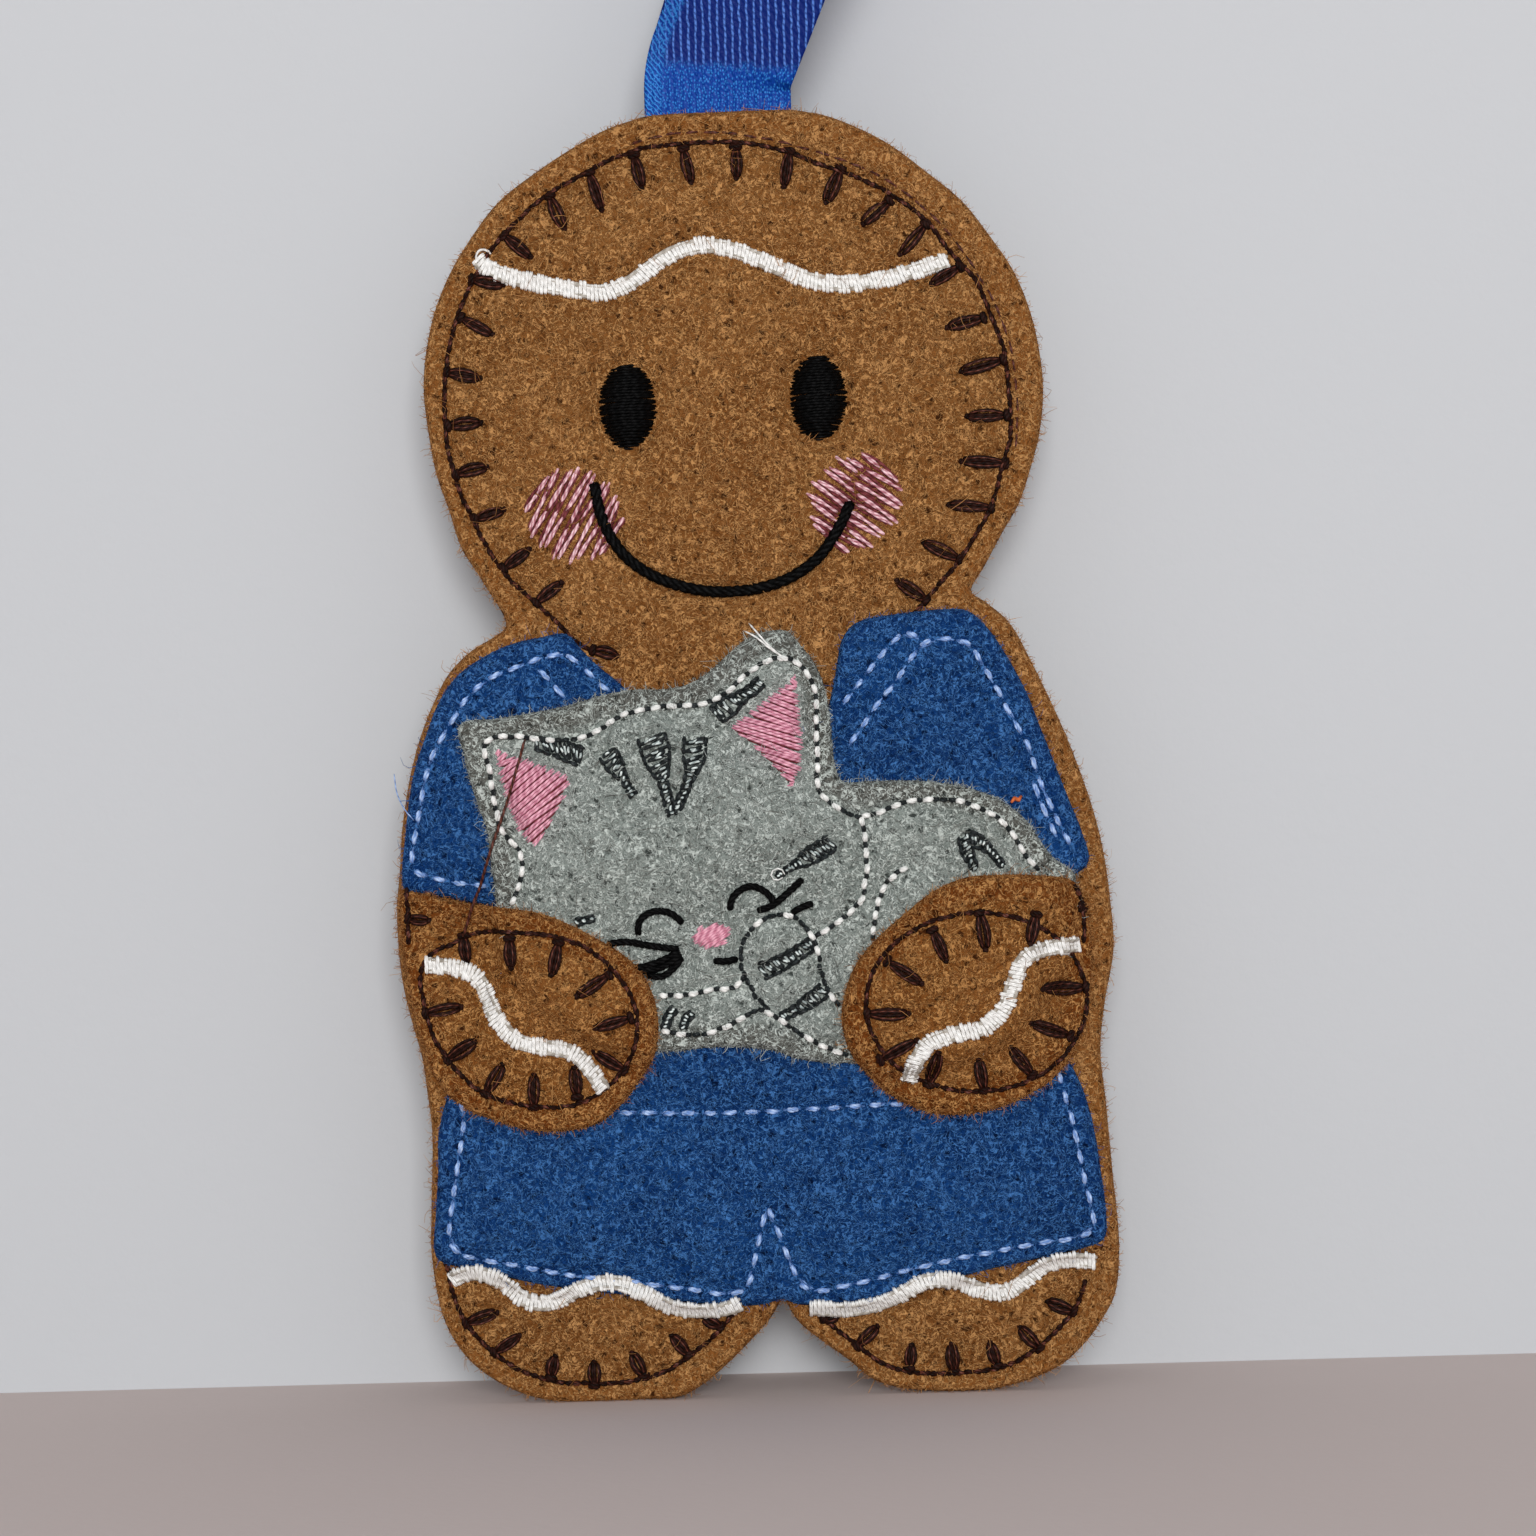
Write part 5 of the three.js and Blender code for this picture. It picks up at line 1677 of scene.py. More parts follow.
@dataclass
class Cat:
    """The sleeping cat: its grey felt, rope-like outline, stripes, face and ears."""

    cut: Cut = Cut(1.1, 0.85, 2.6)
    pitch: float = 1.6
    nose: tuple[float, float] = (-4.4, 47.4)
    nose_size: tuple[float, float] = (3.7, 2.3)
    outline: Knots = (
        (-29.4, 69.3), (-25.8, 69.8), (-22.1, 70.3), (-18.3, 71), (-14.5, 72), (-11.7, 72.4), (-8.4, 72.4), (-6, 72.9),
        (-3.7, 74.3), (-1.8, 76), (0.1, 77.4), (2, 78), (3.9, 78), (5.1, 76.7), (6.5, 74.8), (7.4, 72.7), (7.9, 69.8),
        (8.1, 67), (8.4, 64.2), (9.1, 62.6), (11.9, 62.5), (14.7, 62.5), (18, 62.3), (20.9, 61.8), (23.2, 61.1),
        (25.6, 59.9), (27.5, 58.3), (28.9, 56.2), (30.3, 54.3), (32.4, 52.6), (32.2, 49.5), (30.5, 44), (27, 38.5),
        (21, 35), (15, 33.9), (9.6, 34.2), (7.2, 34.3), (3.9, 34.8), (1.5, 35.7), (-4, 36.2), (-10, 35.9), (-15, 37),
        (-20, 40), (-24, 44.5), (-26.1, 51), (-26.3, 53.3), (-26.6, 55.7), (-26.8, 58.5), (-27.7, 61.3), (-28.4, 63.7),
        (-28.9, 66.1),
    )
    head_line: Knots = (
        (-24.7, 51), (-23.7, 53.3), (-23.5, 56.2), (-24.4, 57.3), (-25.4, 58.5), (-26.1, 61.3), (-26.4, 64.2),
        (-26.9, 67.6), (-24.4, 68.1), (-21.1, 67.7), (-18.3, 67.6), (-15.9, 68.2), (-13.6, 69.6), (-11.7, 70.3),
        (-7.9, 70.8), (-5.1, 70.8), (-2.7, 71.7), (0.1, 74.1), (2.5, 75.3), (4.2, 75.3), (5.8, 73.9), (6.7, 71.7),
        (6.7, 68), (6.7, 64.2), (6.7, 61.8), (8.1, 60.4), (10, 59.2), (11, 59), (11.2, 57.6), (11.4, 54.7),
        (11.2, 51.9), (10.3, 50), (8.6, 48.6), (6.7, 47.4), (6, 47),
    )
    back_line: Knots = (
        (11, 59), (12.9, 59.5), (14.7, 60.2), (17.6, 60.6), (20.9, 60.4), (23.2, 59.5), (25.1, 58.3), (26.5, 56.6),
        (27.5, 54.7), (28.9, 53.1),
    )
    leg_line: Knots = ((15.5, 53.8), (14.3, 53.2), (13.3, 52.2), (12.4, 50), (11.9, 47.4), (11.8, 46.4))
    belly_lines: tuple[Knots, ...] = (
        ((-10, 41.5), (-7, 41.5), (-4.1, 42), (-1.8, 42.3), (-1.3, 43.4)),
        (
            (-9.8, 37.9), (-7, 37.4), (-4.1, 37.8), (-1.8, 38.9), (0.1, 39.8), (2, 38.9), (3.9, 37.5), (6.2, 36.1),
            (9.1, 34.9),
        ),
    )
    paw_line: Knots = (
        (1.1, 39.6), (-0.1, 41.1), (-1.3, 43.4), (-1.5, 46), (-0.4, 48), (1.5, 49.2), (3.7, 49.2), (5.3, 47.7),
        (6.2, 45.8), (6.5, 43.4), (7.2, 41.5), (8.3, 39.9),
    )
    lids: tuple[Knots, ...] = (
        ((-11.9, 47.6), (-11.7, 49.1), (-10.3, 50), (-8.6, 49.8), (-7.3, 48.7)),
        ((-15.1, 46.8), (-13.2, 47), (-11, 46.6), (-7.8, 46.1)),
        ((-13.6, 44.4), (-11.6, 44.4), (-9.6, 45.0), (-7.7, 45.9)),
        ((-11.2, 43.6), (-9.6, 43.4), (-8.3, 44.3), (-7.5, 45.3)),
        ((-12, 44), (-10, 44.2), (-8.4, 45), (-7.6, 45.6)),
    )
    right_lids: tuple[Knots, ...] = (
        ((-2.6, 49.9), (-2.1, 51.4), (-0.4, 52.3), (1.2, 51.6), (2.2, 50.2)),
        ((0.2, 49.8), (1.6, 50.2), (3.2, 51.4), (4.9, 52.9)),
        ((3.7, 49.5), (4.9, 50.1), (5.9, 50.4)),
    )
    mouth: Knots = ((-4.3, 44.9), (-3, 44.8), (-1.9, 45.0))
    ears: dict[str, Knots] = field(
        default_factory=lambda: {
            "cat_left_ear": (
                (-25.8, 66.8), (-22, 65.4), (-18.2, 63.7), (-19.8, 60.5), (-21.3, 57.7), (-22.4, 57), (-23.5, 58.2),
                (-24.7, 60.8), (-25.4, 63.8),
            ),
            "cat_right_ear": (
                (4.7, 73.5), (1.4, 70.9), (-2.1, 68.4), (0.6, 66.2), (2.6, 64), (4.1, 62.2), (5.0, 64.2), (5.2, 66.8),
                (5.1, 70.2),
            ),
        }
    )
    stripes: dict[str, tuple[tuple[Knots, float, float], ...]] = field(
        default_factory=lambda: {
            "cat_stripe_left": ((((-14.6, 66.2), (-13.4, 64.2), (-11.9, 61.6)), 1.9, 0.7),),
            "cat_stripe_middle": ((((-10.0, 67.8), (-9.2, 64.2), (-8.1, 59.6)), 2.8, 0.8),),
            "cat_stripe_right": ((((-5.6, 67.6), (-6, 64.2), (-7.7, 60.2)), 2.2, 0.8),),
            "cat_stripe_left_ear": ((((-21.8, 67.3), (-19.4, 66.7), (-17.1, 65.8)), 1.3, 1.9),),
            "cat_stripe_right_ear": ((((-3.5, 69.7), (-1.2, 71.2), (1.3, 73)), 2.0, 1.1),),
            "cat_stripe_cheek": ((((2.2, 53.2), (5, 54.8), (8, 56.5)), 0.5, 1.7),),
            "cat_stripe_back": (
                (((22.4, 53.4), (21.6, 55.2), (21.4, 56.8)), 0.7, 1.3),
                (((21.4, 56.8), (23.2, 56), (25.3, 53.6)), 1.3, 0.6),
                (((-18.3, 49.0), (-17.2, 49.3), (-16.2, 49.5)), 0.7, 0.5),
                (((0.4, 43.6), (3.2, 44.8), (5.8, 46.4)), 1.6, 1.3),
                (((2.3, 38.9), (4.6, 40.1), (6.9, 41.7)), 0.8, 1.4),
                (((-9.4, 37.9), (-9.1, 39.4), (-8.3, 40.2)), 0.7, 0.7),
                (((-7.6, 38.0), (-7.3, 39.2), (-6.6, 39.6)), 0.7, 0.7),
            ),
        }
    )

    def felt(self, under: Felt) -> Felt:
        """The grey felt, dented along its seams.

        Args:
            under: what it lies on.

        Returns:
            The felt.
        """
        outlines = (self.head_line, self.back_line, self.leg_line, self.paw_line, *self.belly_lines)
        seams = [curve(line) for line in (*outlines, *self.lids, *self.right_lids)]
        seams += [curve(line) for stripes in self.stripes.values() for line, _, _ in stripes]
        seams += [np.array([*ear, ear[0]], float) for ear in self.ears.values()]
        return Felt("cat", "cat_felt", GREY, self.outline, self.cut, seams, under, seed=14)

    def _rope(self, skein: Skein, line: Line, dark: float) -> None:
        """Bean stitch whose light stitches alternate with low dark ones.

        Args:
            skein: what the threads are added to.
            line: the line that it follows.
            dark: how many of the light stitches are dark too.
        """
        length = distances(line)[-1]
        count = max(2, round(length / self.pitch))
        fine = spaced(line, length / (count * 12))
        for index in range(count * 2):
            middle = (index + 0.5) / (count * 2)
            light = index % 2 == 0 and skein.random.uniform() > dark
            reach = (0.33 if light else 0.22) / count
            ends = skein.holes(fine, middle, reach) + skein.random.normal(0, 0.05, (2, 2))
            radius, arch, shade = (0.18, 0.34, 0) if light else (0.14, 0.14, 1)
            skein.stitch(ends[0], ends[1], radius, strands=3, spread=0.15, turns=0.7, arch=arch, shade=shade)

    def _stripe(self, skein: Skein, knots: Knots, first: float, last: float) -> None:
        """A satin stripe of dark threads with lighter ones along its crown that paint its highlight.

        Args:
            skein: what the threads are added to.
            knots: its middle line.
            first: its width at the first knot.
            last: its width at the last.
        """
        line = curve(knots, step=0.45)
        left = sideways(line)
        widths = (last + (first - last) * (1 - ease(np.linspace(0, 1, len(line)), 0.25, 0.6))) / 2
        for index in range(len(line) - 1):
            reach = skein.random.uniform(0.8, 1.25, 2)
            slant = (line[min(index + 2, len(line) - 1)] - line[index]) * skein.random.uniform(0.2, 1.2)
            here = line[index] + left[index] * widths[index] * reach[0]
            way = line[index] - left[index] * widths[index + 1] * reach[1] + slant - here
            skein.stitch(here, here + way, radius=0.16, spread=0.12, arch=0.16)
            # A shorter lighter thread in the middle of each stroke paints the highlight on the stripe's crown.
            low, high = skein.random.uniform([0.15, 0.55], [0.4, 0.85])
            skein.stitch(here + way * low, here + way * high, radius=0.12, strands=1, spread=0.05, arch=0.42, shade=1)
        for edge in (-1, 1):
            rail = line + left * (edge * widths)[:, None]
            skein.dashes(rail, pitch=1.0, share=1.1, radius=0.15, spread=0.1, arch=0.2)

    def build(self, felt: Felt) -> list[bpy.types.Object]:
        """Makes the cat's threads.

        Args:
            felt: the grey felt.

        Returns:
            The pieces.
        """
        outline = Skein(felt.front, 51)
        for knots, dark in ((self.head_line, 0.05), (self.back_line, 0.05), (self.paw_line, 0.7)):
            self._rope(outline, curve(knots), dark)
        for knots in self.belly_lines:
            self._rope(outline, curve(knots), 0.12)
        leg = Skein(felt.front, 52)
        self._rope(leg, curve(self.leg_line), 0.1)
        rope = [SOFT_WHITE_THREAD, DARK_GREY_THREAD]
        pieces = [
            outline.build("cat_outline_threads", rope, ["cat_outline_stitch"]),
            leg.build("cat_leg_threads", rope, ["cat_leg_stitch"]),
        ]
        for name, lines, node, seed in (
            ("cat_left_lid_threads", self.lids, "cat_left_eyelid", 53),
            ("cat_right_lid_threads", self.right_lids, "cat_right_eyelid", 54),
            ("cat_mouth_threads", (self.mouth,), "cat_mouth", 55),
        ):
            skein = Skein(felt.front, seed)
            for knots in lines:
                skein.rope(curve(knots), radius=0.24, spread=0.17, pitch=2.0, height=0.28)
            pieces.append(skein.build(name, [BLACK_THREAD], [node]))
        for (node, knots), angle, seed in zip(self.ears.items(), (38.0, -20.0), (56, 57)):
            ear = Skein(felt.front, seed)
            loop = spaced(np.array([*knots, knots[0]], float), 0.4)[:-1]
            # The ears' sunken threads in the shaded pink paint the shade between the strands.
            ear.fill(loop, angle, pitch=0.62, crown=0.55, radius=0.14, pair=0.13, low=1)
            pieces.append(ear.build(f"{node}_threads", [PINK_THREAD, SHADED_PINK_THREAD], [node]))
        nose = Skein(felt.front, 58)
        nose_line = oval(self.nose, self.nose_size, turn=8)
        nose.fill(nose_line, angle=28.0, pitch=0.46, crown=0.5, radius=0.16, pair=0.12)
        pieces.append(nose.build("cat_nose_threads", [PINK_THREAD], ["cat_nose"]))
        for index, (node, stripes) in enumerate(self.stripes.items()):
            stripe = Skein(felt.front, 60 + index)
            for knots, first, last in stripes:
                self._stripe(stripe, knots, first, last)
            pieces.append(stripe.build(f"{node}_threads", [DARK_GREY_THREAD, CROWN_HIGHLIGHT_THREAD], [node]))
        return pieces


@dataclass
class Hand:
    """One forearm and hand of brown felt that lies over the cat."""

    side: str
    outline: Knots
    ring: Line
    ticks: Ticks
    icing: Knots
    edge: Knots
    seed: int
    cut: Cut = Cut(1.15, 0.75, 3.2)
    icing_width: float = 1.8

    def border(self) -> Border:
        """The hand's blanket stitch."""
        return Border(looped(self.ring), self.ticks, pitch=2.0)

    def felt(self, under: Felt) -> Felt:
        """The hand's felt, dented along its seams.

        Args:
            under: what it lies on.

        Returns:
            The felt.
        """
        seams = [*self.border().seams(), curve(self.icing), curve(self.edge[:-1])]
        name = f"{self.side}_hand"
        return Felt(name, f"{name}_felt", HAND_BROWN, self.outline, self.cut, seams, under, seed=self.seed)

    def build(self, felt: Felt) -> list[bpy.types.Object]:
        """Makes the hand's threads.

        Args:
            felt: the hand's felt.

        Returns:
            The pieces.
        """
        border = Skein(felt.front, self.seed + 50)
        self.border().sew(border)
        Border(curve(self.edge[:-1]), ((self.edge[2], self.edge[-1]),)).sew(border)
        icing = Skein(felt.cover, self.seed + 51)
        icing.band(curve(self.icing, step=0.3), self.icing_width)
        return border_and_icing(f"{self.side}_hand", border, icing)


def hands() -> list[Hand]:
    """The left and the right hand.

    Returns:
        Both hands.
    """
    left = Hand(
        side="left",
        outline=(
            (-35.7, 52.3), (-30.6, 51.4), (-25.8, 50.7), (-21.6, 50), (-18.8, 48.8), (-15.9, 47.2), (-13.1, 45.3),
            (-11.2, 42.9), (-10.3, 40.1), (-10.2, 37.8), (-10.7, 35.4), (-12.2, 33), (-14, 30.7), (-16.4, 28.8),
            (-19.7, 28.1), (-23.5, 28.3), (-26.8, 29.3), (-29.6, 30.4), (-31.4, 31.8), (-33.2, 34.2), (-34.5, 38.5),
            (-35.4, 43), (-35.9, 48),
        ),
        ring=curve(
            (
                (-34.2, 44.2), (-33.6, 39.8), (-32.8, 37.2), (-31.2, 35.1), (-28.6, 32.4), (-25.6, 31.1), (-22, 30.5),
                (-18.4, 30.7), (-15.8, 32), (-13.2, 34.8), (-12.1, 38.9), (-13, 42.1), (-14.8, 44.6), (-17.2, 46.6),
                (-20.4, 47.8), (-24.4, 48.3), (-28.4, 48.2), (-31, 47.2), (-33.2, 46),
            ),
            closed=True,
        ),
        ticks=(
            ((-24.8, 47.7), (-24.7, 44.7)), ((-19.9, 47.2), (-20.7, 43.9)), ((-14.9, 43.8), (-18.2, 41.7)),
            ((-12.8, 39.4), (-16.4, 38.5)), ((-13.6, 34), (-16.7, 36)), ((-18.5, 31.4), (-18.7, 34.4)),
            ((-22.9, 30.5), (-22.8, 33.8)), ((-27.8, 31.9), (-26, 34.9)), ((-31.7, 35.4), (-28.7, 37.3)),
            ((-33.8, 40.2), (-30.1, 40.7)), ((-29.7, 48), (-29.4, 45.2)),
        ),
        icing=(
            (-33.6, 45.1), (-31, 44.8), (-28.6, 43.9), (-27.3, 41.6), (-26.2, 39.2), (-24.2, 37.2), (-21.3, 36.5),
            (-18.8, 35.9), (-17.1, 34.1), (-15.7, 31.9),
        ),
        edge=((-35.3, 53.0), (-35.3, 51.4), (-35.3, 49.9), (-35.3, 47.2), (-33.1, 49.6)),
        seed=15,
    )
    right = Hand(
        side="right",
        outline=(
            (32.4, 51.7), (28, 52.6), (24.7, 52.7), (21.3, 52.5), (18, 51.2), (15.2, 49.1), (12.4, 46.7), (10, 43.9),
            (8.8, 40.6), (8.6, 38.2), (9.3, 35.4), (11, 33), (12.9, 31.1), (15.2, 29.7), (18, 28.8), (21.3, 28.8),
            (24.7, 29.5), (27.5, 30.7), (29.8, 32.1), (31.8, 34.4), (33.4, 38), (34, 43), (33.8, 48),
        ),
        ring=oval((22.2, 40), (22.6, 18.2)),
        ticks=(
            ((22.6, 49.1), (23.1, 45.3)), ((28.3, 48.8), (27.6, 45.8)), ((17.8, 47.5), (19.1, 44.3)),
            ((13.2, 44.4), (16.6, 42.1)), ((11, 39.2), (15.2, 39.1)), ((12.2, 34.5), (15.9, 36.4)),
            ((17.1, 31.7), (18.1, 35.1)), ((22.7, 31), (22.2, 34.2)), ((27.6, 32.4), (25.5, 35.3)),
            ((31.7, 36.2), (27.6, 37.7)), ((33.4, 41.1), (28.8, 41.2)),
        ),
        icing=(
            (32.8, 45.5), (29.8, 45.3), (27, 44.4), (25.8, 42), (24.9, 39.6), (22.8, 37.6), (19.5, 36.9), (16.9, 35.9),
            (15.8, 34.2), (15, 32),
        ),
        edge=((32.2, 51.6), (32.9, 50.8), (33.3, 49.4), (33.3, 45.6), (33.0, 49.0)),
        seed=16,
    )
    return [left, right]


@dataclass
class Ribbon:
    """The satin ribbon: one strip, sewn in between the brown felts at both ends and folded into a loop.
    """

    shift: float = -1.7
    width: float = 15.0
    thickness: float = 0.35
    columns: int = 41
    tail: float = 11.4
    rise: float = 33.0
    opening: float = 17.0
    strand_gap: float = 0.325
    foot: float = 132.6
    lean_start: float = 0.8
    lean_run: float = 3.6
    lean: float = 20.5
    fan: float = 4.5
    bend: tuple[float, float] = (-61.2, -63.7)
    tail_points: int = 30
    loop_points: int = 191
    # How far the edges cup and the strip wavers, and over what length above the seam both set in.
    cup: float = 0.35
    waver: float = 0.12
    cup_run: tuple[float, float] = (1.0, 9.0)
    # Over what length above the seam the ribs turn from upright to along the strip.
    rib_run: tuple[float, float] = (16.0, 40.0)

    def _path(self) -> tuple[np.ndarray, np.ndarray]:
        """The strip's middle line, bare of its lean.

        Returns:
            Its y and rise, and the way round of each point.
        """
        tail = np.linspace(-self.tail, 0, self.tail_points, endpoint=False)
        way = np.linspace(0, 1, self.loop_points)
        turn = TURN * way
        y = -self.opening * np.sin(turn) * np.sin(turn / 2) ** 1.5 - self.strand_gap * np.cos(turn / 2)
        loop = np.column_stack([y, self.rise * (1 - np.cos(turn))])
        front = np.column_stack([np.full_like(tail, -self.strand_gap), tail])
        back = np.column_stack([np.full_like(tail, self.strand_gap), tail[::-1]])
        turns = np.concatenate([np.zeros_like(tail), turn, np.full_like(tail, TURN)])
        return np.vstack([front, loop, back]), turns

    def _leaned(self, y: np.ndarray, rise: np.ndarray, turn: np.ndarray, side: np.ndarray) -> np.ndarray:
        """Leans the strip to the right above the seam.

        Args:
            y: the depth of each point.
            rise: how high each is above the seam.
            turn: the way round of each.
            side: how far each is from the strip's middle.

        Returns:
            The points in the row frame, in millimetres.
        """
        lean = np.radians(self.lean + self.fan * np.cos(turn / 2))
        turned = lean * np.clip(rise - self.lean_start, 0, self.lean_run) / self.lean_run
        radius = self.lean_run / lean
        beyond = np.maximum(rise - self.lean_start - self.lean_run, 0)
        sine, cosine = np.sin(turned), np.cos(turned)
        x = radius * (1 - cosine) + beyond * sine + side * cosine
        z = np.minimum(rise, self.lean_start) + radius * sine + beyond * cosine - side * sine
        return np.stack([x + self.shift + FIGURE_MIDDLE, y, z + self.foot + SOLES], axis=-1)

    def build(self) -> bpy.types.Object:
        """Makes the ribbon.

        Returns:
            The ribbon.
        """
        path, turn = self._path()
        ahead = unit(np.gradient(path, axis=0))
        outward = np.column_stack([-ahead[:, 1], ahead[:, 0]])
        side = np.linspace(-self.width / 2, self.width / 2, self.columns)
        along = distances(path)
        length = along[-1]
        away = np.minimum(along, length - along) - self.tail
        free = ease(away, *self.cup_run)[:, None]
        waver = self.waver * np.sin(along[:, None] / 5.3 + side / 3.1)
        cup = free * (self.cup * (side / side[-1]) ** 2 + waver)
        layers = []
        for half in (1, -1):
            off = cup + half * self.thickness / 2 * np.where(np.abs(side) > side[-1] - 0.3, 0.6, 1.0)
            y = path[:, :1] + outward[:, :1] * off
            rise = path[:, 1:] + outward[:, 1:] * off
            layers.append(self._leaned(y, rise, turn[:, None], np.broadcast_to(side, off.shape)))
        rows, columns = layers[0].shape[:2]
        grid = np.arange(rows * columns).reshape(rows, columns)
        total = rows * columns
        a, b, c, d = grid[:-1, :-1], grid[:-1, 1:], grid[1:, 1:], grid[1:, :-1]
        outer = np.stack([a, b, c, d], axis=-1).reshape(-1, 4)
        rims = []
        for edge, flip in ((grid[:, 0], 1), (grid[:, -1], -1), (grid[0], -1), (grid[-1], 1)):
            strip = np.column_stack([edge[:-1], edge[1:], edge[1:] + total, edge[:-1] + total])
            rims.append(strip[:, ::flip])
        places = np.vstack([layer.reshape(-1, 3) for layer in layers]) * MM
        made = mesh_of("ribbon", places, [outer, outer[:, ::-1] + total, *rims])
        face_out(made)
        level = layers[0][..., 0] - self.shift - FIGURE_MIDDLE
        share = ease(np.broadcast_to(away[:, None], level.shape), *self.rib_run)
        ribs = level * (1 - share) + side * share
        rise = layers[0][..., 2] - self.foot - SOLES + 0.1 * side
        # The back strand gets no lighter selvedge twill, which paints it darker as the shaded inner side of the loop.
        across = side * np.where(turn[:, None] < math.pi, 1.0, 0.0)
        weave = np.stack([across, rise, ribs], axis=-1).reshape(-1, 3)
        note(made, "weave", np.vstack([weave, weave]))
        made.data.materials.append(RibbonFinish().material())
        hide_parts("ribbon_loop", "ribbon_tail_front", "ribbon_tail_back")
        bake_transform(made)
        return made


@dataclass
class LooseThreads:
    """What the machine left: a jump thread, cut ends, a stray fibre and a speck of lint."""

    jump: Knots = ((-22.8, 67.7), (-24.2, 63.1), (-25.8, 58.6), (-27.8, 53), (-29.7, 47.9))
    ends: tuple[Knots, ...] = (
        ((0.1, 79.0), (0.9, 78.0), (2.1, 76.6), (3.6, 75.3)),
        ((-0.4, 78.2), (0.8, 77.5), (2.2, 76.3), (3.4, 75.5)),
        ((3.1, 53.4), (2.7, 54.0), (2.0, 53.9), (1.7, 53.3), (2.2, 52.8), (2.9, 53.1)),
    )
    fibre: Knots = ((-36.6, 64.6), (-36.3, 62.6), (-35.5, 61.2), (-34.4, 59.8))
    lint: Knots = ((26.2, 60.1), (26.6, 60.5), (27.0, 60.3), (27.3, 60.7))

    def build(self, top: Felt, hand: Felt) -> list[bpy.types.Object]:
        """Makes the loose threads.

        Args:
            top: the felt that most of them lie over.
            hand: the felt that the jump thread ends on.

        Returns:
            The pieces.
        """
        pieces = []
        for name, lines, ground, radius, height, finish, seed in (
            ("jump_thread", (self.jump,), hand, 0.16, 0.68, BROWN_THREAD, 81),
            ("thread_ends", self.ends, top, 0.1, 0.25, SOFT_WHITE_THREAD, 82),
            ("stray_fibre", (self.fibre,), top, 0.07, 0.2, PALE_BLUE_THREAD, 83),
            ("lint", (self.lint,), top, 0.24, 0.3, LINT_THREAD, 84),
        ):
            skein = Skein(ground.cover, seed)
            for knots in lines:
                line = curve(knots)
                skein.lay(line, height + 0.08 * ripple(line, seed, 5.0), radius)
            pieces.append(skein.build(name, [finish]))
        return pieces


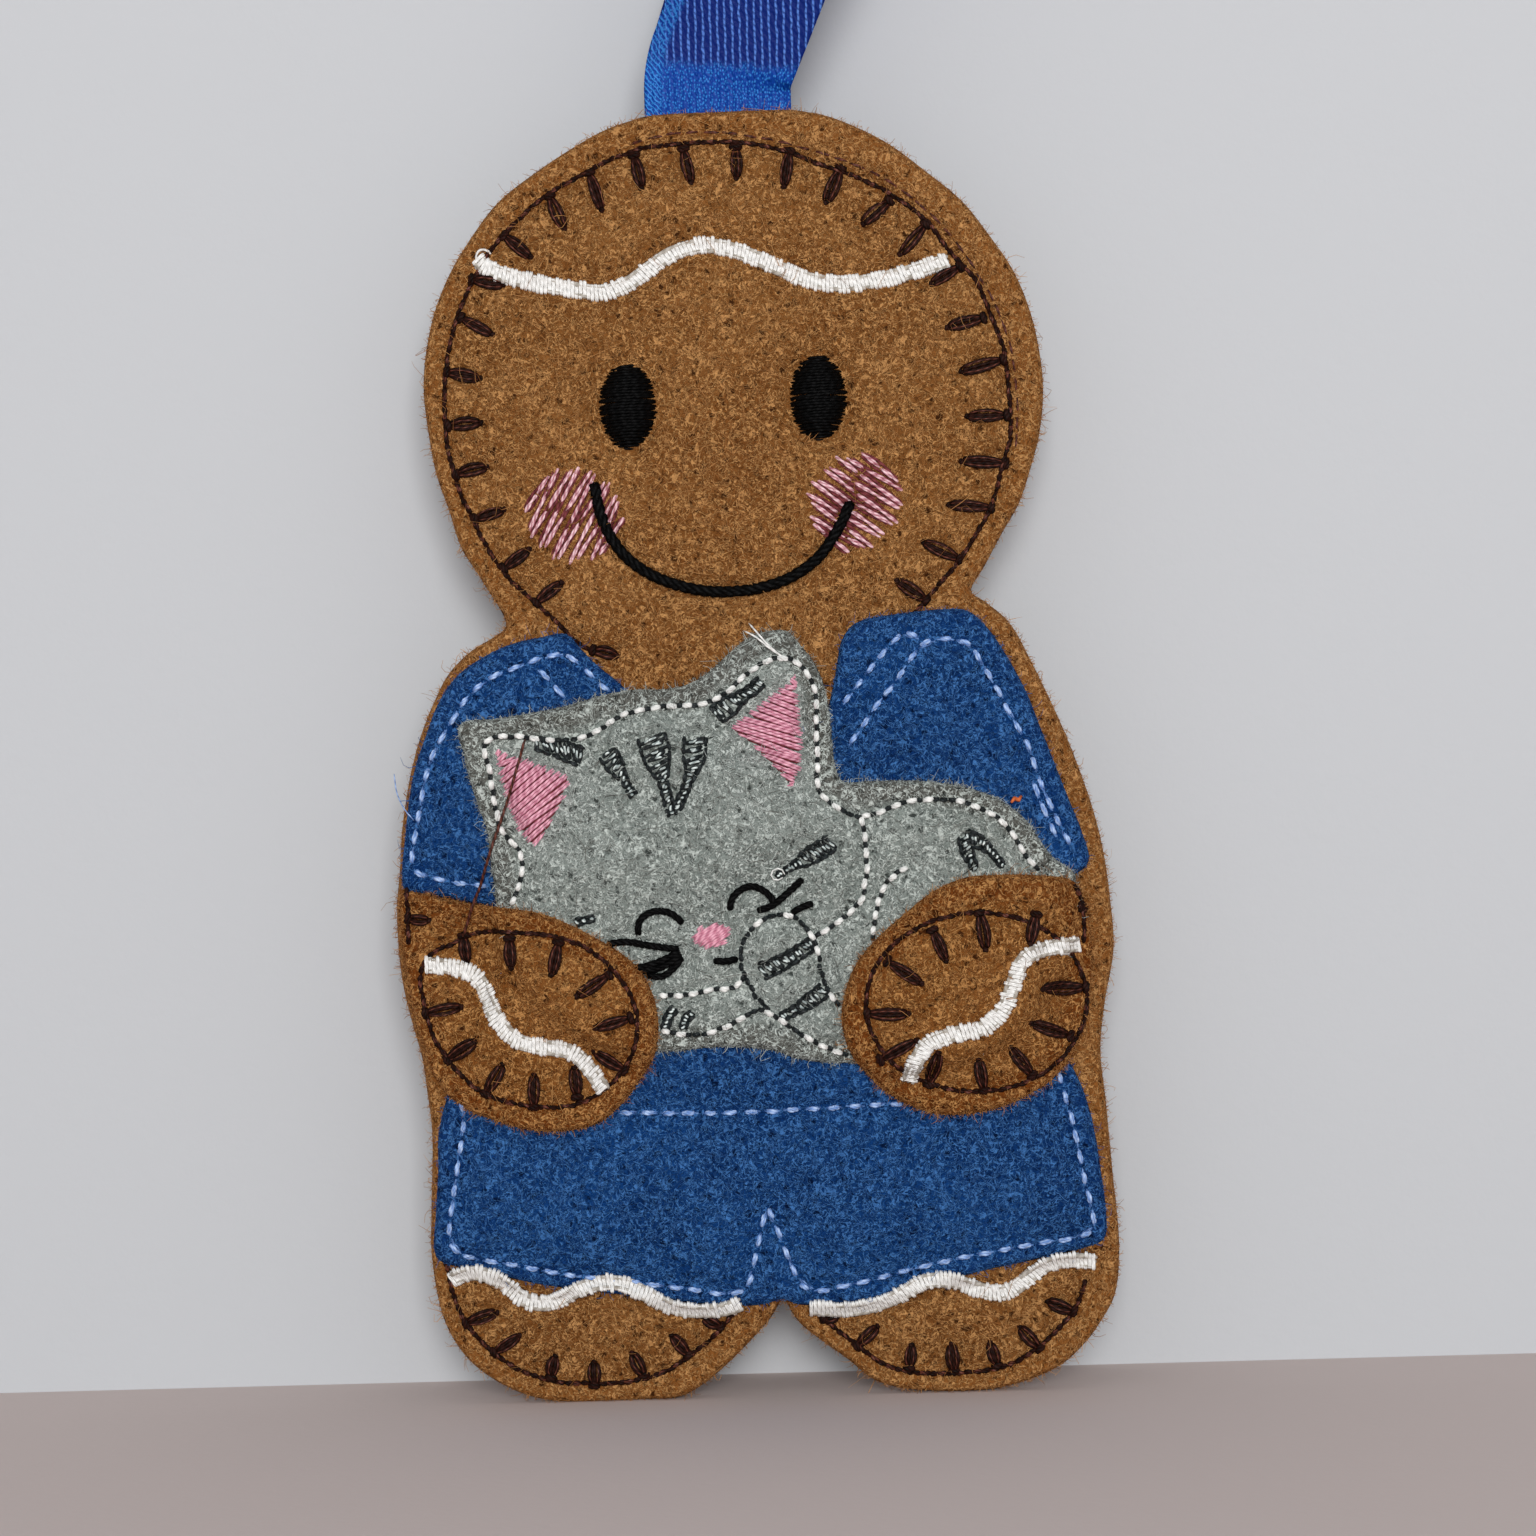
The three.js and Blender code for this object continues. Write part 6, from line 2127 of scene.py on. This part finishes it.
@dataclass
class Studio:
    """The wall, the floor, the lamps and the camera."""

    middle: tuple[float, float] = (1.68, 64.2)
    distance: float = 350.0
    elevation: float = 0.0
    roll: float = -1.49
    lens: float = 80.1
    wall_y: float = 13.0
    reach: float = 900.0
    sink: float = 0.05
    lamp_place: tuple[float, float, float] = (40.0, -900.0, 190.0)
    lamp_size: float = 340.0
    lamp_power: float = 5.1
    lamp_colour: Colour = (1.0, 0.99, 0.975, 1.0)
    room_colour: Colour = (0.95, 0.975, 1.0, 1.0)
    room_strength: float = 0.45
    wall_dye: Colour = dye(203, 206, 210)
    floor_dye: Colour = dye(206, 192, 188)

    def _finish(self, name: str, colour: Colour, see_through: bool) -> bpy.types.Material:
        """A plain painted surface.

        Args:
            name: the material's name.
            colour: its colour.
            see_through: whether it can't be seen from behind.

        Returns:
            The material.
        """
        made, graph = blank(name)
        place = graph.add("ShaderNodeTexCoord").outputs["Object"]
        paint = graph.shader(colour, roughness=0.85, gloss=0.2, bump=(graph.noise(place, 900.0)[0], 0.12, 0.3))
        if see_through:
            behind = graph.add("ShaderNodeNewGeometry").outputs["Backfacing"]
            clear = graph.add("ShaderNodeBsdfTransparent").outputs[0]
            paint = graph.add("ShaderNodeMixShader", {0: behind, 1: paint, 2: clear}).outputs[0]
        graph.surface(paint)
        return made

    def _plane(
        self, name: str, corners: Sequence[tuple[float, float, float]], finish: bpy.types.Material
    ) -> bpy.types.Object:
        """One flat stage piece.

        Args:
            name: its name.
            corners: its four corners in millimetres in the row frame.
            finish: its material.

        Returns:
            The piece.
        """
        made = mesh_of(name, np.array(corners) * MM, [np.array([[0, 1, 2, 3]])])
        made.data.materials.append(finish)
        return made

    def _lamp(self) -> None:
        """Places a soft square lamp aimed at the figure."""
        data = bpy.data.lights.new("key lamp", "AREA")
        data.shape, data.size, data.energy = "SQUARE", self.lamp_size * MM, self.lamp_power
        data.color = self.lamp_colour[:3]
        lamp = bpy.data.objects.new("key lamp", data)
        bpy.context.scene.collection.objects.link(lamp)
        place = Vector(self.lamp_place)
        lamp.location = (place + self._target()) * MM
        lamp.rotation_euler = place.to_track_quat("Z", "Y").to_euler()

    def _target(self) -> Vector:
        """The figure's middle in millimetres in the row frame."""
        return Vector((self.middle[0] + FIGURE_MIDDLE, 0.0, self.middle[1] + SOLES))

    def camera(self) -> None:
        """Places the camera at the photograph's angle."""
        data = bpy.data.cameras.new("camera")
        data.lens, data.sensor_width, data.clip_start, data.clip_end = self.lens, 36.0, 0.01, 20.0
        made = bpy.data.objects.new("camera", data)
        bpy.context.scene.collection.objects.link(made)
        angle = math.radians(self.elevation)
        back = Vector((0.0, -math.cos(angle), math.sin(angle)))
        made.location = (self._target() + back * self.distance) * MM
        made.rotation_mode = "QUATERNION"
        tilt = Quaternion((1, 0, 0), math.pi / 2 - angle)
        made.rotation_quaternion = tilt @ Quaternion((0, 0, 1), math.radians(self.roll))
        bpy.context.scene.camera = made

    def build(self) -> None:
        """Makes the stage and the light."""
        y, z = self.wall_y, SOLES - self.sink
        left, right = FIGURE_MIDDLE - self.reach, FIGURE_MIDDLE + self.reach
        wall = ((left, y, z), (right, y, z), (right, y, z + self.reach), (left, y, z + self.reach))
        floor = ((left, y - self.reach, z), (right, y - self.reach, z), (right, y, z), (left, y, z))
        self._plane("wall", wall, self._finish("wall paint", self.wall_dye, True))
        self._plane("floor", floor, self._finish("floor paint", self.floor_dye, False))
        self._lamp()
        world = bpy.data.worlds.new("room")
        world.use_nodes = True
        backdrop = world.node_tree.nodes["Background"]
        backdrop.inputs["Color"].default_value = self.room_colour
        backdrop.inputs["Strength"].default_value = self.room_strength
        bpy.context.scene.world = world
        bpy.context.scene.view_settings.view_transform = "Standard"


def back_stitching(back: Felt, borders: Sequence[Line]) -> bpy.types.Object:
    """The border seams as they come through on the back.

    Args:
        back: the back felt.
        borders: the seams that go through both brown felts.

    Returns:
        The piece.
    """
    skein = Skein(back.front, 29)
    for border in borders:
        skein.dashes(border, BORDER_PITCH, share=0.95, radius=0.14, spread=0.1, arch=0.1)
    return skein.build("back_border_threads", [BROWN_THREAD], facing=Facing.BACK)


def main() -> None:
    """Builds the ornament, its stage and its light."""
    logging.basicConfig(level=logging.INFO, format="%(message)s")
    studio = Studio()
    studio.camera()
    studio.build()
    head, soles, suit, kitten, palms = HeadStitching(), feet(), Clothes(), Cat(), hands()
    seams = [*head.seams(), *[line for foot in soles for line in foot.seams()]]
    borders = [curve(head.ring), *[curve(foot.border) for foot in soles]]
    front, back = BrownFelts().front(seams), BrownFelts().back(borders)
    clothes = suit.felt(front)
    cat = kitten.felt(clothes)
    forearms = [palm.felt(cat) for palm in palms]
    LOG.info("felts are drawn")
    sewing = {
        back.name: (back, [back_stitching(back, borders)], Fuzz(back, edge_count=4200, face_gap=1.35)),
        front.name: (
            front,
            [*head.build(front), *[piece for foot in soles for piece in foot.build(front, clothes)]],
            Fuzz(front, edge_count=4600, face_gap=0.78, hidden_by=(clothes, cat, *forearms)),
        ),
        clothes.name: (
            clothes,
            suit.build(clothes),
            Fuzz(clothes, edge_count=2600, face_gap=0.85, hidden_by=(cat, *forearms)),
        ),
        cat.name: (
            cat,
            [*kitten.build(cat), *LooseThreads().build(cat, forearms[0])],
            Fuzz(cat, edge_count=3600, face_gap=0.75, hidden_by=forearms),
        ),
    }
    for palm, forearm in zip(palms, forearms):
        fuzz = Fuzz(forearm, edge_count=2400, face_gap=0.75)
        sewing[forearm.name] = (forearm, palm.build(forearm), fuzz)
    for name, (felt, threads, fuzz) in sewing.items():
        felt.declare(felt.build(), [*threads, fuzz.build()])
        LOG.info("%s is laid", name)
    Ribbon().build()
    LOG.info("the ribbon is folded")


if __name__ == "__main__":
    main()
